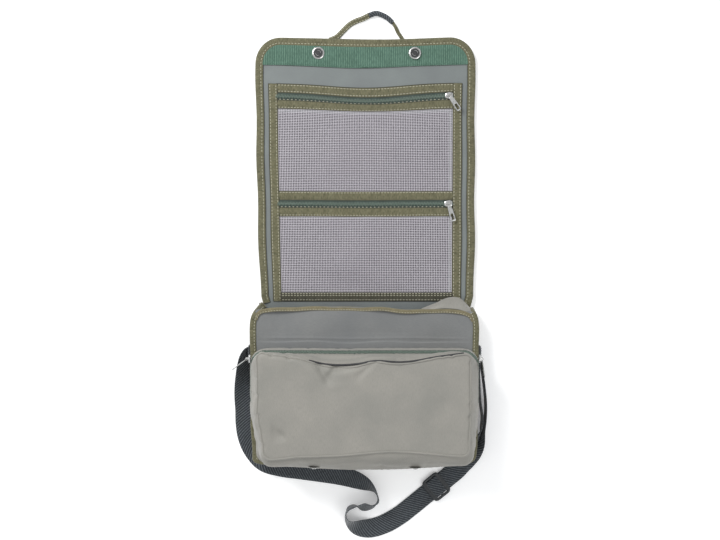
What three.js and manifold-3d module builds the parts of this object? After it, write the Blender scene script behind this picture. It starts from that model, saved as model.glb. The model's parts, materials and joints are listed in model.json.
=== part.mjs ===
// Hanging toiletry bag, laid open on its back. A soft pouch with an open main compartment and a
// zipped front pouch is covered by a long fold-over flap that carries two zipped net pockets, a
// webbing band with two press studs and a small handle. A webbing strap hangs off the pouch's sides.
//
// Millimetres. +X is the bag's right, +Y runs from the pouch to the flap's free end, +Z is up.
// The origin is the middle of the rear panel's outer face, which lies on the table.

import * as THREE from 'three';
import { mergeVertices } from 'three/addons/utils/BufferGeometryUtils.js';
import Module from 'manifold-3d';

const wasm = await Module();
wasm.setup();

// ---------------------------------------------------------------------------------------------
// Driving dimensions
// ---------------------------------------------------------------------------------------------

const GAP = 0.3; // between pieces that touch
const BELOW = 5; // how far a cutting tool runs past what it cuts

// Cloth and padding thicknesses
const CLOTH = 1.2; // outer nylon with its coating
const WALL = 1.5; // padded pouch wall
const FOAM = 1.8; // stiffening foam
const LINING = 0.8; // lining nylon
const TAPE = 0.8; // binding and frame tape
const NET = 0.8; // net cloth

// Pouch body
const BODY_WIDTH = 294; // middle panel, edge to edge
const BODY_HEIGHT = 203; // bottom edge to mouth
const BODY_ROLL = 8; // how far the rear panel stays inside the middle panel
const REAR_CORNER = 34; // rear panel's bottom corners
const MIDDLE_CORNER = 9; // middle panel's bottom corners
const MOUTH_CORNER = 16; // middle panel's top corners
const MAIN_DEPTH = 29; // table to the front of the middle panel
const BODY_BINDING = 9.5; // tape round the middle panel's edge
const MOUTH_BINDING = 7; // tape along the mouth

// Front pouch
const POUCH_DEPTH = 52.5; // middle panel to front panel
const POUCH_HEIGHT = 153; // bottom edge to top, at its foot
const POUCH_INSET = 5; // its foot inside the middle panel's sides
const POUCH_BULGE = 2; // how far its walls swell past its foot
const FRONT_INSET = 16; // front panel's side seams inside the foot
const FRONT_DROP = 8; // front panel's top seam below the foot's top
const FRONT_RISE = 24; // front panel's bottom seam above the foot's bottom
const POUCH_CORNER = 15; // corners of the front pouch
const ZIP_LEVEL = 54.7; // height of the pouch zip above the table
const ZIP_SLIT = 3.6; // slit in the wall that the pouch zip fills
const ZIP_LEG = 70; // how far the zip runs down each side
const SWELL_RISE = 14; // foot to where the walls have swollen
const SHOULDER_DROP = 12; // front panel to where the walls start to lean in
const SHOULDER_INSET = 1;
const BROW_DROP = 4; // front panel to where the walls turn over
const BROW_SHARE = 0.55; // of the front panel's inset that the walls have leaned by there

// Flap
const FLAP_WIDTH = 288;
const FLAP_CORNER = 34;
const FOLD_GAP = 6; // mouth to the fold line behind it
const FLAP_SLACK = 6.5; // clearance that the closed flap keeps round the pouch
const COVER_SLACK = 6; // clearance past the pouch's bottom
const TIP_LENGTH = 46; // free end that closes under the bottom
const FLAP_BINDING = 12;
const FOLD_RELIEF = 1.5; // what lies above the lining stays this far from each fold

// Net pockets on the flap
const FRAME_CLEAR = 5.5; // lining that shows between the flap's binding and the frame
const FRAME_TAPE = 11.5;
const FRAME_FOOT = 2.1; // lower edge of the frame above the first fold
const FRAME_HEAD = 14.5; // upper edge of the frame below the last fold
const LOWER_NET = 100; // height of the lower net window
const ZIP_TAPE = 10; // visible width of a zip
const COIL_WIDTH = 4.5;
const COIL_HEIGHT = 1.6;

// Webbing band, press studs, handle
const BAND_WIDTH = 23.5;
const BAND_HEIGHT = 1.2;
const BAND_TOP = 12.6; // upper edge of the band below the flap's end
const STUD_SPACING = 127;
const STUD_DROP = 21; // stud centres below the flap's end
const SOCKET_RADIUS = 8;
const SOCKET_HEIGHT = 1.5;
const SOCKET_MOUTH = 3.6;
const CAP_RADIUS = 6.5;
const CAP_HEIGHT = 0.9;
const POST_RADIUS = 2.2;
const STUD_RADIUS = 6;
const STUD_HEIGHT = 2;
const BALL_RADIUS = 2.8;
const HANDLE_WIDTH = 10;
const HANDLE_THICKNESS = 1.6;

// Zip sliders and pullers
const SLIDER_LENGTH = 10;
const SLIDER_WIDTH = 8.5;
const SLIDER_HEIGHT = 2.2;
const BAIL_BAR = 0.65; // half the side of the square bar that the puller hangs on
const BAIL_LEG = 1.2;
const RING_PLAY = 0.03; // between the puller's ring and the corners of the square bar
const RING_WALL = 0.7;
const RING_WIDTH = 3.0;
const RING_ROOM = 0.4; // free beside the ring, on each side
const RING_LIFT = 0.35; // free under the ring
const PULLER_LENGTH = 24;
const PULLER_WIDTH = 7.5;
const PULLER_THICKNESS = 1.2;
const PULLER_SLOT = 9;
const PULLER_RIM = 1.5;
const UPPER_SLIDER_BACK = 3.7; // slider's centre from the right end of its zip
const UPPER_PULLER_TURN = -56; // degrees from the bag's right
const LOWER_SLIDER_BACK = 4.7;
const LOWER_PULLER_TURN = -74;
const POUCH_SLIDER_DROP = 13; // below the foot's top, on each leg of the pouch zip
const LEFT_PULLER_SWING = 53; // degrees out from the wall
const RIGHT_PULLER_SWING = 10;

// Strap
const WEB_WIDTH = 25;
const WEB_THICKNESS = 1.6;
const ANCHOR_LENGTH = 20;
const ADJUSTER_LENGTH = 27; // along the strap
const ADJUSTER_WIDTH = 32;
const ADJUSTER_BAR = 4;
const ADJUSTER_RIM = 3;
const ADJUSTER_THICKNESS = 2.6;
const ADJUSTER_LIFT = 1; // middle of the strap under it, above the table
const ANCHOR_LOW = 3.5; // lower edge of the strap's sewn ends above the table
const LEFT_ANCHOR_DROP = 48.5; // sewn ends below the mouth
const RIGHT_ANCHOR_DROP = 49.5;
const ANCHOR_CLEAR = 0.7;

// ---------------------------------------------------------------------------------------------
// Sizes that follow
// ---------------------------------------------------------------------------------------------

const HALF_BODY = BODY_WIDTH / 2;
const BODY_BOTTOM = -BODY_HEIGHT / 2;
const MOUTH = BODY_HEIGHT / 2;
const FOLD = MOUTH + FOLD_GAP;

const FOAM_Z = CLOTH + GAP;
const LINING_Z = FOAM_Z + FOAM + GAP;
const INNER_Z = LINING_Z + LINING;
const AXIS_Z = INNER_Z + GAP / 2; // the height of every fold's axis
const TRIM_Z = INNER_Z + GAP;

const POUCH_Z = MAIN_DEPTH + TAPE + 2 * GAP + 0.1;
const FRONT_Z = MAIN_DEPTH + POUCH_DEPTH;
const POUCH_BOTTOM = BODY_BOTTOM;
const POUCH_TOP = BODY_BOTTOM + POUCH_HEIGHT;
const HALF_POUCH = HALF_BODY - POUCH_INSET;
const LID_FOLD = POUCH_TOP - ZIP_LEG;

const SPINE = FRONT_Z + FLAP_SLACK; // flap length between the first two folds
const COVER = BODY_HEIGHT + FOLD_GAP + COVER_SLACK;
const COVER_FOLD = FOLD + SPINE;
const TIP_FOLD = COVER_FOLD + COVER;
const FLAP_END = TIP_FOLD + TIP_LENGTH;
const HALF_FLAP = FLAP_WIDTH / 2;

const FRAME_BOTTOM = FOLD + FRAME_FOOT;
const FRAME_TOP = TIP_FOLD - FRAME_HEAD;
const HALF_FRAME = HALF_FLAP - FLAP_BINDING - FRAME_CLEAR;
const WINDOW = HALF_FRAME - FRAME_TAPE - GAP; // half width between the side tapes
const LOWER_SILL = FRAME_BOTTOM + FRAME_TAPE;
const LOWER_HEAD = LOWER_SILL + LOWER_NET;
const LOWER_ZIP = LOWER_HEAD + FRAME_TAPE;
const UPPER_SILL = LOWER_ZIP + ZIP_TAPE + FRAME_TAPE;
const UPPER_ZIP = FRAME_TOP - FRAME_TAPE - ZIP_TAPE;
const UPPER_HEAD = UPPER_ZIP - FRAME_TAPE;

const RING_INNER = BAIL_BAR * Math.SQRT2 + RING_PLAY;
const RING_OUTER = RING_INNER + RING_WALL;
const BAIL_SPAN = RING_WIDTH + 2 * RING_ROOM;
const BAIL_RISE = RING_OUTER + RING_LIFT; // bar's centre above the slider
const UPPER_SLIDER_X = WINDOW - UPPER_SLIDER_BACK;
const LOWER_SLIDER_X = WINDOW - LOWER_SLIDER_BACK;
const SLIDER_Z = TRIM_Z + COIL_HEIGHT + GAP;
const STUD_Z = AXIS_Z + SPINE - (TIP_LENGTH - STUD_DROP); // where the closed flap brings its studs

// ---------------------------------------------------------------------------------------------
// Finishes
// ---------------------------------------------------------------------------------------------

const finish = (color, roughness = 0.85, metalness = 0) =>
  new THREE.MeshStandardMaterial({ color, roughness, metalness });

const taupe = () => finish('#98968e');
const greyNylon = () => finish('#8b9090');
const olive = () => finish('#7c7754');
const sage = () => finish('#5f8c78');
const foamWhite = () => finish('#d9d6cc');
const netGrey = () => finish('#a9a7a8');
const zipGreen = () => finish('#4f6f60');
const webbing = () => finish('#3a4148');
const nickel = () => finish('#c4c4c0', 0.3, 1);
const blackPlastic = () => finish('#1f2224', 0.45);

// ---------------------------------------------------------------------------------------------
// Shapes
// ---------------------------------------------------------------------------------------------

const object = new THREE.Group();

function place(parent, name, geometry, material, x = 0, y = 0, z = 0) {
  const mesh = new THREE.Mesh(geometry, material);
  mesh.name = name;
  mesh.position.set(x, y, z);
  parent.add(mesh);
  return mesh;
}

const ROUND = 0.5523; // makes a Bezier curve follow a quarter circle

// A closed outline with a rounded corner of its own radius at each point.
function roundedOutline(corners, Kind = THREE.Shape) {
  const outline = new Kind();
  corners.forEach(([x, y, radius], i) => {
    const [beforeX, beforeY] = corners.at(i - 1);
    const [afterX, afterY] = corners[(i + 1) % corners.length];
    const here = new THREE.Vector2(x, y);
    const from = new THREE.Vector2(beforeX, beforeY).sub(here).setLength(radius).add(here);
    const to = new THREE.Vector2(afterX, afterY).sub(here).setLength(radius).add(here);
    if (i === 0) outline.moveTo(from.x, from.y);
    else outline.lineTo(from.x, from.y);
    if (radius > 0) {
      const leave = from.clone().lerp(here, ROUND);
      const arrive = to.clone().lerp(here, ROUND);
      outline.bezierCurveTo(leave.x, leave.y, arrive.x, arrive.y, to.x, to.y);
    }
  });
  outline.closePath();
  return outline;
}

function rectangle(x0, x1, y0, y1, r0 = 0, r1 = 0, Kind = THREE.Shape) {
  return roundedOutline([[x0, y0, r0], [x1, y0, r0], [x1, y1, r1], [x0, y1, r1]], Kind);
}

function circleHole(x, y, radius) {
  const hole = new THREE.Path();
  hole.absarc(x, y, radius, 0, 2 * Math.PI, true);
  return hole;
}

function slab(shape, thickness, curveSegments = 6) {
  return new THREE.ExtrudeGeometry(shape, { depth: thickness, bevelEnabled: false, curveSegments });
}

// A flat strip that runs up the left side, across the top and down the right side.
function arch(half, y0, y1, width, outer, inner) {
  const corners = [[half, y0, 0], [half, y1, outer], [-half, y1, outer], [-half, y0, 0]];
  const edge = half - width;
  const back = [[-edge, y0, 0], [-edge, y1 - width, inner], [edge, y1 - width, inner], [edge, y0, 0]];
  return roundedOutline([...corners, ...back]);
}

// A section in X and Z, carried along Y.
function alongY(section, length) {
  const geometry = slab(section, length);
  const turn = new THREE.Matrix4().makeBasis(
    new THREE.Vector3(1, 0, 0), new THREE.Vector3(0, 0, 1), new THREE.Vector3(0, -1, 0));
  return geometry.applyMatrix4(turn).translate(0, length, 0);
}

// A section in Y and Z, carried along X and centred on it.
function alongX(section, length) {
  const geometry = slab(section, length);
  const turn = new THREE.Matrix4().makeBasis(
    new THREE.Vector3(0, 1, 0), new THREE.Vector3(0, 0, 1), new THREE.Vector3(1, 0, 0));
  return geometry.applyMatrix4(turn).translate(-length / 2, 0, 0);
}

function block(x0, x1, y0, y1, z0, z1) {
  const geometry = new THREE.BoxGeometry(x1 - x0, y1 - y0, z1 - z0);
  return geometry.translate((x0 + x1) / 2, (y0 + y1) / 2, (z0 + z1) / 2);
}

// Joins and cuts.
function toSolid(geometry) {
  const bare = geometry.clone();
  bare.deleteAttribute('normal');
  bare.deleteAttribute('uv');
  const welded = mergeVertices(bare, 1e-4);
  return new wasm.Manifold(new wasm.Mesh({
    numProp: 3,
    vertProperties: new Float32Array(welded.attributes.position.array),
    triVerts: new Uint32Array(welded.index.array),
  }));
}

function toGeometry(solid) {
  const mesh = solid.getMesh();
  const geometry = new THREE.BufferGeometry();
  geometry.setAttribute('position', new THREE.BufferAttribute(mesh.vertProperties, 3));
  geometry.setIndex(new THREE.BufferAttribute(mesh.triVerts, 1));
  geometry.computeVertexNormals();
  return geometry;
}

function joined(...geometries) {
  const [first, ...others] = geometries.map(toSolid);
  return toGeometry(others.reduce((sum, next) => sum.add(next), first));
}

// One level of a soft body: a rounded rectangle with the same number of points at every height.
const CORNER_STEPS = 5;

function level(z, half, y0, y1, r0, r1) {
  const corners = [[half - r0, y0 + r0, r0, -90], [half - r1, y1 - r1, r1, 0],
    [r1 - half, y1 - r1, r1, 90], [r0 - half, y0 + r0, r0, 180]];
  const points = [];
  for (const [x, y, radius, start] of corners) {
    for (let i = 0; i <= CORNER_STEPS; i++) {
      const turn = THREE.MathUtils.degToRad(start + 90 * i / CORNER_STEPS);
      points.push(new THREE.Vector3(x + radius * Math.cos(turn), y + radius * Math.sin(turn), z));
    }
  }
  return points;
}

function loft(levels) {
  const count = levels[0].length;
  const position = levels.flat().flatMap((p) => [p.x, p.y, p.z]);
  const index = [];
  const last = (levels.length - 1) * count;
  for (let i = 0; i < count; i++) {
    const next = (i + 1) % count;
    for (let base = 0; base < last; base += count) {
      index.push(base + i, base + next, base + count + next);
      index.push(base + i, base + count + next, base + count + i);
    }
    if (i > 0 && next > 0) {
      index.push(0, next, i);
      index.push(last, last + i, last + next);
    }
  }
  const geometry = new THREE.BufferGeometry();
  geometry.setAttribute('position', new THREE.Float32BufferAttribute(position, 3));
  geometry.setIndex(index);
  geometry.computeVertexNormals();
  return geometry;
}

// A flat band bent along a route. Each stop of the route is [x, y, clear, tilt]: clear is the height
// of the band's lower edge above the table, and tilt turns its width from lying flat (0 degrees) to
// standing on edge (90 degrees).
const BAND_COLUMNS = 4; // keeps both faces of a twisted stretch the same distance apart

function bentBand(stops, width, thickness, steps) {
  const route = new THREE.CatmullRomCurve3(stops.map(([x, y, clear]) => new THREE.Vector3(x, y, clear)),
    false, 'centripetal');
  const geometry = new THREE.BoxGeometry(1, width, thickness, steps, BAND_COLUMNS, 1);
  const position = geometry.attributes.position;
  const up = new THREE.Vector3(0, 0, 1);
  for (let i = 0; i < position.count; i++) {
    const t = THREE.MathUtils.clamp(position.getX(i) + 0.5, 0, 1);
    const stop = Math.min(t * (stops.length - 1), stops.length - 1.000001);
    const first = Math.floor(stop);
    const degrees = THREE.MathUtils.lerp(stops[first][3], stops[first + 1][3], stop - first);
    const tilt = THREE.MathUtils.degToRad(degrees);
    const along = route.getTangent(t).setZ(0).normalize();
    const across = new THREE.Vector3().crossVectors(up, along).applyAxisAngle(along, tilt);
    const face = new THREE.Vector3().crossVectors(along, across);
    const lift = Math.abs(Math.sin(tilt)) * width / 2 + Math.abs(Math.cos(tilt)) * thickness / 2;
    const at = route.getPoint(t)
      .addScaledVector(up, lift)
      .addScaledVector(across, position.getY(i))
      .addScaledVector(face, position.getZ(i));
    position.setXYZ(i, at.x, at.y, at.z);
  }
  geometry.computeVertexNormals();
  return geometry;
}

// ---------------------------------------------------------------------------------------------
// Pouch: rear wall, main compartment and middle panel
// ---------------------------------------------------------------------------------------------

const REAR_HALF = HALF_BODY - BODY_ROLL;
const REAR_BOTTOM = BODY_BOTTOM + BODY_ROLL;
const HEM = 4; // what lies inside the rear wall stays this far from its edge

function rearOutline(hem) {
  return rectangle(hem - REAR_HALF, REAR_HALF - hem, REAR_BOTTOM + hem, FOLD - GAP / 2,
    REAR_CORNER - hem, 0);
}

place(object, 'rear_panel', slab(rearOutline(0), CLOTH), taupe());
place(object, 'rear_foam', slab(rearOutline(HEM), FOAM), foamWhite(), 0, 0, FOAM_Z);
place(object, 'rear_lining', slab(rearOutline(HEM / 2), LINING), greyNylon(), 0, 0, LINING_Z);

const GUSSET_Z = INNER_Z + GAP;
const GUSSET_TOP = MAIN_DEPTH - CLOTH - GAP;

function mainLoft(inset, z0, z1) {
  const beyond = MOUTH + 40;
  return loft([
    level(z0, REAR_HALF - inset, REAR_BOTTOM + inset, beyond, REAR_CORNER - inset, 1),
    level(z1, HALF_BODY - inset, BODY_BOTTOM + inset, beyond, MIDDLE_CORNER - inset, 1),
  ]);
}

function mainGusset() {
  const hull = toSolid(mainLoft(0, GUSSET_Z, GUSSET_TOP));
  const hollow = toSolid(mainLoft(WALL, GUSSET_Z - 0.01, GUSSET_TOP + 0.01));
  const beyond = toSolid(block(-BODY_WIDTH, BODY_WIDTH, MOUTH, 2 * MOUTH, -BELOW, FRONT_Z));
  return toGeometry(hull.subtract(hollow).subtract(beyond));
}

place(object, 'main_gusset', mainGusset(), taupe());

const middleOutline = rectangle(-HALF_BODY, HALF_BODY, BODY_BOTTOM, MOUTH, MIDDLE_CORNER, MOUTH_CORNER);
place(object, 'middle_panel', slab(middleOutline, CLOTH), taupe(), 0, 0, MAIN_DEPTH - CLOTH);

// The binding tapes lie on the middle panel's face. The mouth's tape runs between the side tapes.
const BINDING_Z = MAIN_DEPTH + GAP;
const mouthHalf = HALF_BODY - MOUTH_CORNER;
place(object, 'mouth_binding', slab(rectangle(-mouthHalf, mouthHalf, MOUTH - MOUTH_BINDING, MOUTH), TAPE),
  olive(), 0, 0, BINDING_Z);

function bodyBinding() {
  const edge = HALF_BODY - BODY_BINDING;
  const top = MOUTH - MOUTH_CORNER;
  return slab(roundedOutline([
    [-HALF_BODY, top, 0], [-HALF_BODY, BODY_BOTTOM, MIDDLE_CORNER], [HALF_BODY, BODY_BOTTOM, MIDDLE_CORNER],
    [HALF_BODY, top, 0], [edge, top, 0], [edge, BODY_BOTTOM + BODY_BINDING, 1],
    [-edge, BODY_BOTTOM + BODY_BINDING, 1], [-edge, top, 0],
  ]), TAPE);
}

place(object, 'body_binding', bodyBinding(), olive(), 0, 0, BINDING_Z);

// ---------------------------------------------------------------------------------------------
// Front pouch: a soft hollow box, slit by its zip, whose front folds down as a lid
// ---------------------------------------------------------------------------------------------

// How far each level of the pouch is drawn in from its foot: at the sides, the bottom and the top.
const pouchLevels = [
  { z: POUCH_Z, side: 0, bottom: 0, top: 0 },
  { z: POUCH_Z + SWELL_RISE, side: -POUCH_BULGE, bottom: -POUCH_BULGE, top: -POUCH_BULGE },
  { z: ZIP_LEVEL, side: -POUCH_BULGE, bottom: -POUCH_BULGE, top: -POUCH_BULGE },
  { z: FRONT_Z - SHOULDER_DROP, side: SHOULDER_INSET, bottom: SHOULDER_INSET, top: 0 },
  { z: FRONT_Z - BROW_DROP, side: BROW_SHARE * FRONT_INSET, bottom: BROW_SHARE * FRONT_RISE,
    top: BROW_SHARE * FRONT_DROP },
  { z: FRONT_Z, side: FRONT_INSET, bottom: FRONT_RISE, top: FRONT_DROP },
];

function pouchLoft(inset) {
  return loft(pouchLevels.map(({ z, side, bottom, top }, i) => {
    const height = i === 0 ? z - (inset ? 1 : 0) : z - (i === pouchLevels.length - 1 ? inset : 0);
    return level(height, HALF_POUCH - side - inset, POUCH_BOTTOM + bottom + inset,
      POUCH_TOP - top - inset, POUCH_CORNER, POUCH_CORNER);
  }));
}

const pouchSkin = toSolid(pouchLoft(0)).subtract(toSolid(pouchLoft(WALL)));

function pouchCut(y0, z0, z1) {
  return toSolid(block(-BODY_WIDTH, BODY_WIDTH, y0, 2 * MOUTH, z0, z1));
}

const SLIT_LOW = ZIP_LEVEL - ZIP_SLIT / 2;
const SLIT_HIGH = ZIP_LEVEL + ZIP_SLIT / 2;
const lidSpace = pouchCut(LID_FOLD, SLIT_LOW, FRONT_Z + BELOW);
const zipStart = LID_FOLD + GAP;

place(object, 'pouch_shell', toGeometry(pouchSkin.subtract(lidSpace)), taupe());
place(object, 'pouch_zip_base',
  toGeometry(pouchSkin.intersect(pouchCut(zipStart, SLIT_LOW + GAP, ZIP_LEVEL - GAP / 2))), zipGreen());
place(object, 'pouch_lid',
  toGeometry(pouchSkin.intersect(pouchCut(zipStart, SLIT_HIGH, FRONT_Z + BELOW))), taupe());
place(object, 'pouch_zip_lid',
  toGeometry(pouchSkin.intersect(pouchCut(zipStart, ZIP_LEVEL + GAP / 2, SLIT_HIGH - GAP))), zipGreen());

// ---------------------------------------------------------------------------------------------
// Zip sliders and pullers, made flat: the zip runs along X and the puller hangs off the bail
// ---------------------------------------------------------------------------------------------

const HOOK_Z = SLIDER_HEIGHT + BAIL_RISE;

function sliderGeometry(turn) {
  const half = SLIDER_WIDTH / 2;
  const nose = SLIDER_LENGTH / 2;
  const body = slab(roundedOutline([[-nose, -half * 0.6, 1.5], [nose * 0.3, -half, 2], [nose, -half * 0.7, 1.5],
    [nose, half * 0.7, 1.5], [nose * 0.3, half, 2], [-nose, half * 0.6, 1.5]]), SLIDER_HEIGHT, 3);
  const outside = BAIL_SPAN / 2 + BAIL_LEG;
  const bail = new THREE.Shape();
  bail.moveTo(-outside, SLIDER_HEIGHT - 1);
  bail.lineTo(-outside, HOOK_Z + BAIL_BAR);
  bail.lineTo(outside, HOOK_Z + BAIL_BAR);
  bail.lineTo(outside, SLIDER_HEIGHT - 1);
  bail.lineTo(BAIL_SPAN / 2, SLIDER_HEIGHT - 1);
  bail.lineTo(BAIL_SPAN / 2, HOOK_Z - BAIL_BAR);
  bail.lineTo(-BAIL_SPAN / 2, HOOK_Z - BAIL_BAR);
  bail.lineTo(-BAIL_SPAN / 2, SLIDER_HEIGHT - 1);
  bail.closePath();
  const hoop = alongX(bail, 2 * BAIL_BAR).rotateZ(THREE.MathUtils.degToRad(turn));
  return joined(body, hoop);
}

function pullerGeometry() {
  const ring = new THREE.Shape();
  ring.absarc(0, 0, RING_OUTER, 0, 2 * Math.PI, false);
  ring.holes.push(circleHole(0, 0, RING_INNER));
  const knuckle = alongY(ring, RING_WIDTH).translate(0, -RING_WIDTH / 2, 0);
  const half = PULLER_WIDTH / 2;
  const start = RING_OUTER + 0.6;
  const end = PULLER_LENGTH;
  const neckSide = half * 0.55;
  const plate = roundedOutline([[start, -neckSide, 1], [end, -half, 2], [end, half, 2], [start, neckSide, 1]]);
  const rim = PULLER_RIM;
  plate.holes.push(rectangle(end - rim - PULLER_SLOT, end - rim, rim - half, half - rim, 1, 1, THREE.Path));
  const blade = slab(plate, PULLER_THICKNESS, 3).translate(0, 0, -PULLER_THICKNESS / 2);
  const neckHalf = RING_WIDTH / 2;
  const neck = block((RING_INNER + RING_OUTER) / 2, start + 1, -neckHalf, neckHalf,
    -PULLER_THICKNESS / 2, PULLER_THICKNESS / 2);
  return joined(knuckle, neck, blade);
}

// A slider and its puller at one place. 'stand' turns the pair so that its up is the wall's outside.
function zipPull(sliderName, pullerName, turn, swing, x, y, z, stand) {
  const pair = new THREE.Group();
  pair.position.set(x, y, z);
  pair.rotation.set(...stand.map(THREE.MathUtils.degToRad), 'ZYX');
  place(pair, sliderName, sliderGeometry(turn), nickel());
  const puller = place(pair, pullerName, pullerGeometry(), nickel(), 0, 0, HOOK_Z);
  puller.rotation.set(0, -THREE.MathUtils.degToRad(swing), THREE.MathUtils.degToRad(turn), 'ZYX');
  object.add(pair);
}

const pouchSide = HALF_POUCH + POUCH_BULGE + GAP;
const sliderY = POUCH_TOP - POUCH_SLIDER_DROP;
zipPull('pouch_slider_left', 'pouch_puller_left', 0, LEFT_PULLER_SWING,
  -pouchSide, sliderY, ZIP_LEVEL, [90, 0, -90]);
zipPull('pouch_slider_right', 'pouch_puller_right', 0, RIGHT_PULLER_SWING,
  pouchSide, sliderY, ZIP_LEVEL, [-90, 0, -90]);

// ---------------------------------------------------------------------------------------------
// Press studs on the pouch's bottom wall, where the closed flap brings its sockets
// ---------------------------------------------------------------------------------------------

function wallAt(z) {
  const i = pouchLevels.findIndex((entry) => entry.z >= z);
  const [low, high] = [pouchLevels[i - 1], pouchLevels[i]];
  const t = (z - low.z) / (high.z - low.z);
  const lean = Math.atan2(high.bottom - low.bottom, high.z - low.z);
  return { y: POUCH_BOTTOM + THREE.MathUtils.lerp(low.bottom, high.bottom, t), lean };
}

function studGeometry() {
  const profile = [[0, 0], [STUD_RADIUS, 0], [STUD_RADIUS, 0.5], [2, 0.8], [2, 1.1], [BALL_RADIUS, 1.5],
    [BALL_RADIUS - 0.5, STUD_HEIGHT], [0, STUD_HEIGHT]];
  const lathe = new THREE.LatheGeometry(profile.map(([r, h]) => new THREE.Vector2(r, h)), 16);
  return toGeometry(toSolid(lathe));
}

const studWall = wallAt(STUD_Z);
for (const [name, side] of [['pouch_stud_left', -1], ['pouch_stud_right', 1]]) {
  const out = GAP * 1.5;
  const stud = place(object, name, studGeometry(), nickel(), side * STUD_SPACING / 2,
    studWall.y - out * Math.cos(studWall.lean), STUD_Z + out * Math.sin(studWall.lean));
  stud.rotation.x = Math.PI - studWall.lean;
}

// ---------------------------------------------------------------------------------------------
// Flap: three stiffened lengths between folds, each with shell, foam and lining
// ---------------------------------------------------------------------------------------------

const JOIN = GAP / 2;
const lengths = [
  { name: 'spine', start: FOLD, end: COVER_FOLD },
  { name: 'cover', start: COVER_FOLD, end: TIP_FOLD },
  { name: 'tip', start: TIP_FOLD, end: FLAP_END },
];
const EDGE = GAP + TAPE; // room for the binding where it wraps the flap's edge
const studPlaces = [-STUD_SPACING / 2, STUD_SPACING / 2];
const studY = FLAP_END - STUD_DROP;

function flapLayer(length, hem, holeRadius) {
  const half = HALF_FLAP - EDGE - hem;
  const tip = length.end === FLAP_END;
  const y1 = tip ? FLAP_END - EDGE - hem : length.end - JOIN;
  const shape = rectangle(-half, half, length.start + JOIN, y1, 0, tip ? FLAP_CORNER - EDGE - hem : 0);
  if (tip) studPlaces.forEach((x) => shape.holes.push(circleHole(x, studY, holeRadius)));
  return shape;
}

for (const length of lengths) {
  place(object, `flap_shell_${length.name}`, slab(flapLayer(length, 0, CAP_RADIUS + GAP), CLOTH), taupe());
  place(object, `flap_foam_${length.name}`, slab(flapLayer(length, HEM, POST_RADIUS + GAP), FOAM),
    foamWhite(), 0, 0, FOAM_Z);
  place(object, `flap_lining_${length.name}`, slab(flapLayer(length, HEM / 2, POST_RADIUS + GAP), LINING),
    greyNylon(), 0, 0, LINING_Z);
}

// Binding: a tape that wraps the flap's edge and lies on the lining.
function sideBinding(length) {
  const section = new THREE.Shape();
  section.moveTo(0, 0);
  section.lineTo(TAPE, 0);
  section.lineTo(TAPE, TRIM_Z + TAPE);
  section.lineTo(TAPE - FLAP_BINDING, TRIM_Z + TAPE);
  section.lineTo(TAPE - FLAP_BINDING, TRIM_Z);
  section.lineTo(0, TRIM_Z);
  section.closePath();
  return alongY(section, length.end - length.start - 2 * FOLD_RELIEF);
}

for (const length of lengths.slice(0, 2)) {
  for (const [side, flip] of [['left', Math.PI], ['right', 0]]) {
    const mesh = place(object, `flap_binding_${side}_${length.name}`, sideBinding(length), olive());
    const y = flip ? length.end - FOLD_RELIEF : length.start + FOLD_RELIEF;
    mesh.position.set((flip ? -1 : 1) * (HALF_FLAP - TAPE), y, 0);
    mesh.rotation.z = flip;
  }
}

function tipBinding() {
  const start = TIP_FOLD + FOLD_RELIEF;
  const face = slab(arch(HALF_FLAP, start, FLAP_END, FLAP_BINDING, FLAP_CORNER, FLAP_CORNER - FLAP_BINDING), TAPE);
  const edge = slab(arch(HALF_FLAP, start, FLAP_END, TAPE, FLAP_CORNER, FLAP_CORNER - TAPE), TRIM_Z + TAPE);
  return joined(face.translate(0, 0, TRIM_Z), edge);
}

place(object, 'flap_binding_tip', tipBinding(), olive());

// ---------------------------------------------------------------------------------------------
// Net pockets: side tapes, cross tapes, zips and nets on the lining
// ---------------------------------------------------------------------------------------------

function strip(name, material, x0, x1, y0, y1, thickness = TAPE) {
  place(object, name, block(x0, x1, y0, y1, 0, thickness), material, 0, 0, TRIM_Z);
}

const belowFold = COVER_FOLD - FOLD_RELIEF;
const aboveFold = COVER_FOLD + FOLD_RELIEF;
for (const [side, x0, x1] of [['left', -HALF_FRAME, FRAME_TAPE - HALF_FRAME],
  ['right', HALF_FRAME - FRAME_TAPE, HALF_FRAME]]) {
  strip(`pocket_tape_${side}_spine`, olive(), x0, x1, FRAME_BOTTOM, belowFold);
  strip(`pocket_tape_${side}_cover`, olive(), x0, x1, aboveFold, FRAME_TOP);
}

const crossTapes = [
  ['pocket_tape_bottom', FRAME_BOTTOM],
  ['lower_zip_tape_below', LOWER_HEAD],
  ['lower_zip_tape_above', LOWER_ZIP + ZIP_TAPE],
  ['upper_zip_tape_below', UPPER_HEAD],
  ['upper_zip_tape_above', UPPER_ZIP + ZIP_TAPE],
];
for (const [name, y0] of crossTapes) strip(name, olive(), -WINDOW, WINDOW, y0, y0 + FRAME_TAPE);

function chainGeometry() {
  const half = ZIP_TAPE / 2 - GAP;
  const coil = COIL_WIDTH / 2;
  const section = new THREE.Shape();
  section.moveTo(-half, 0);
  section.lineTo(half, 0);
  section.lineTo(half, TAPE);
  section.lineTo(coil, TAPE);
  section.lineTo(coil * 0.7, COIL_HEIGHT);
  section.lineTo(-coil * 0.7, COIL_HEIGHT);
  section.lineTo(-coil, TAPE);
  section.lineTo(-half, TAPE);
  section.closePath();
  return alongX(section, 2 * WINDOW);
}

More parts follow.
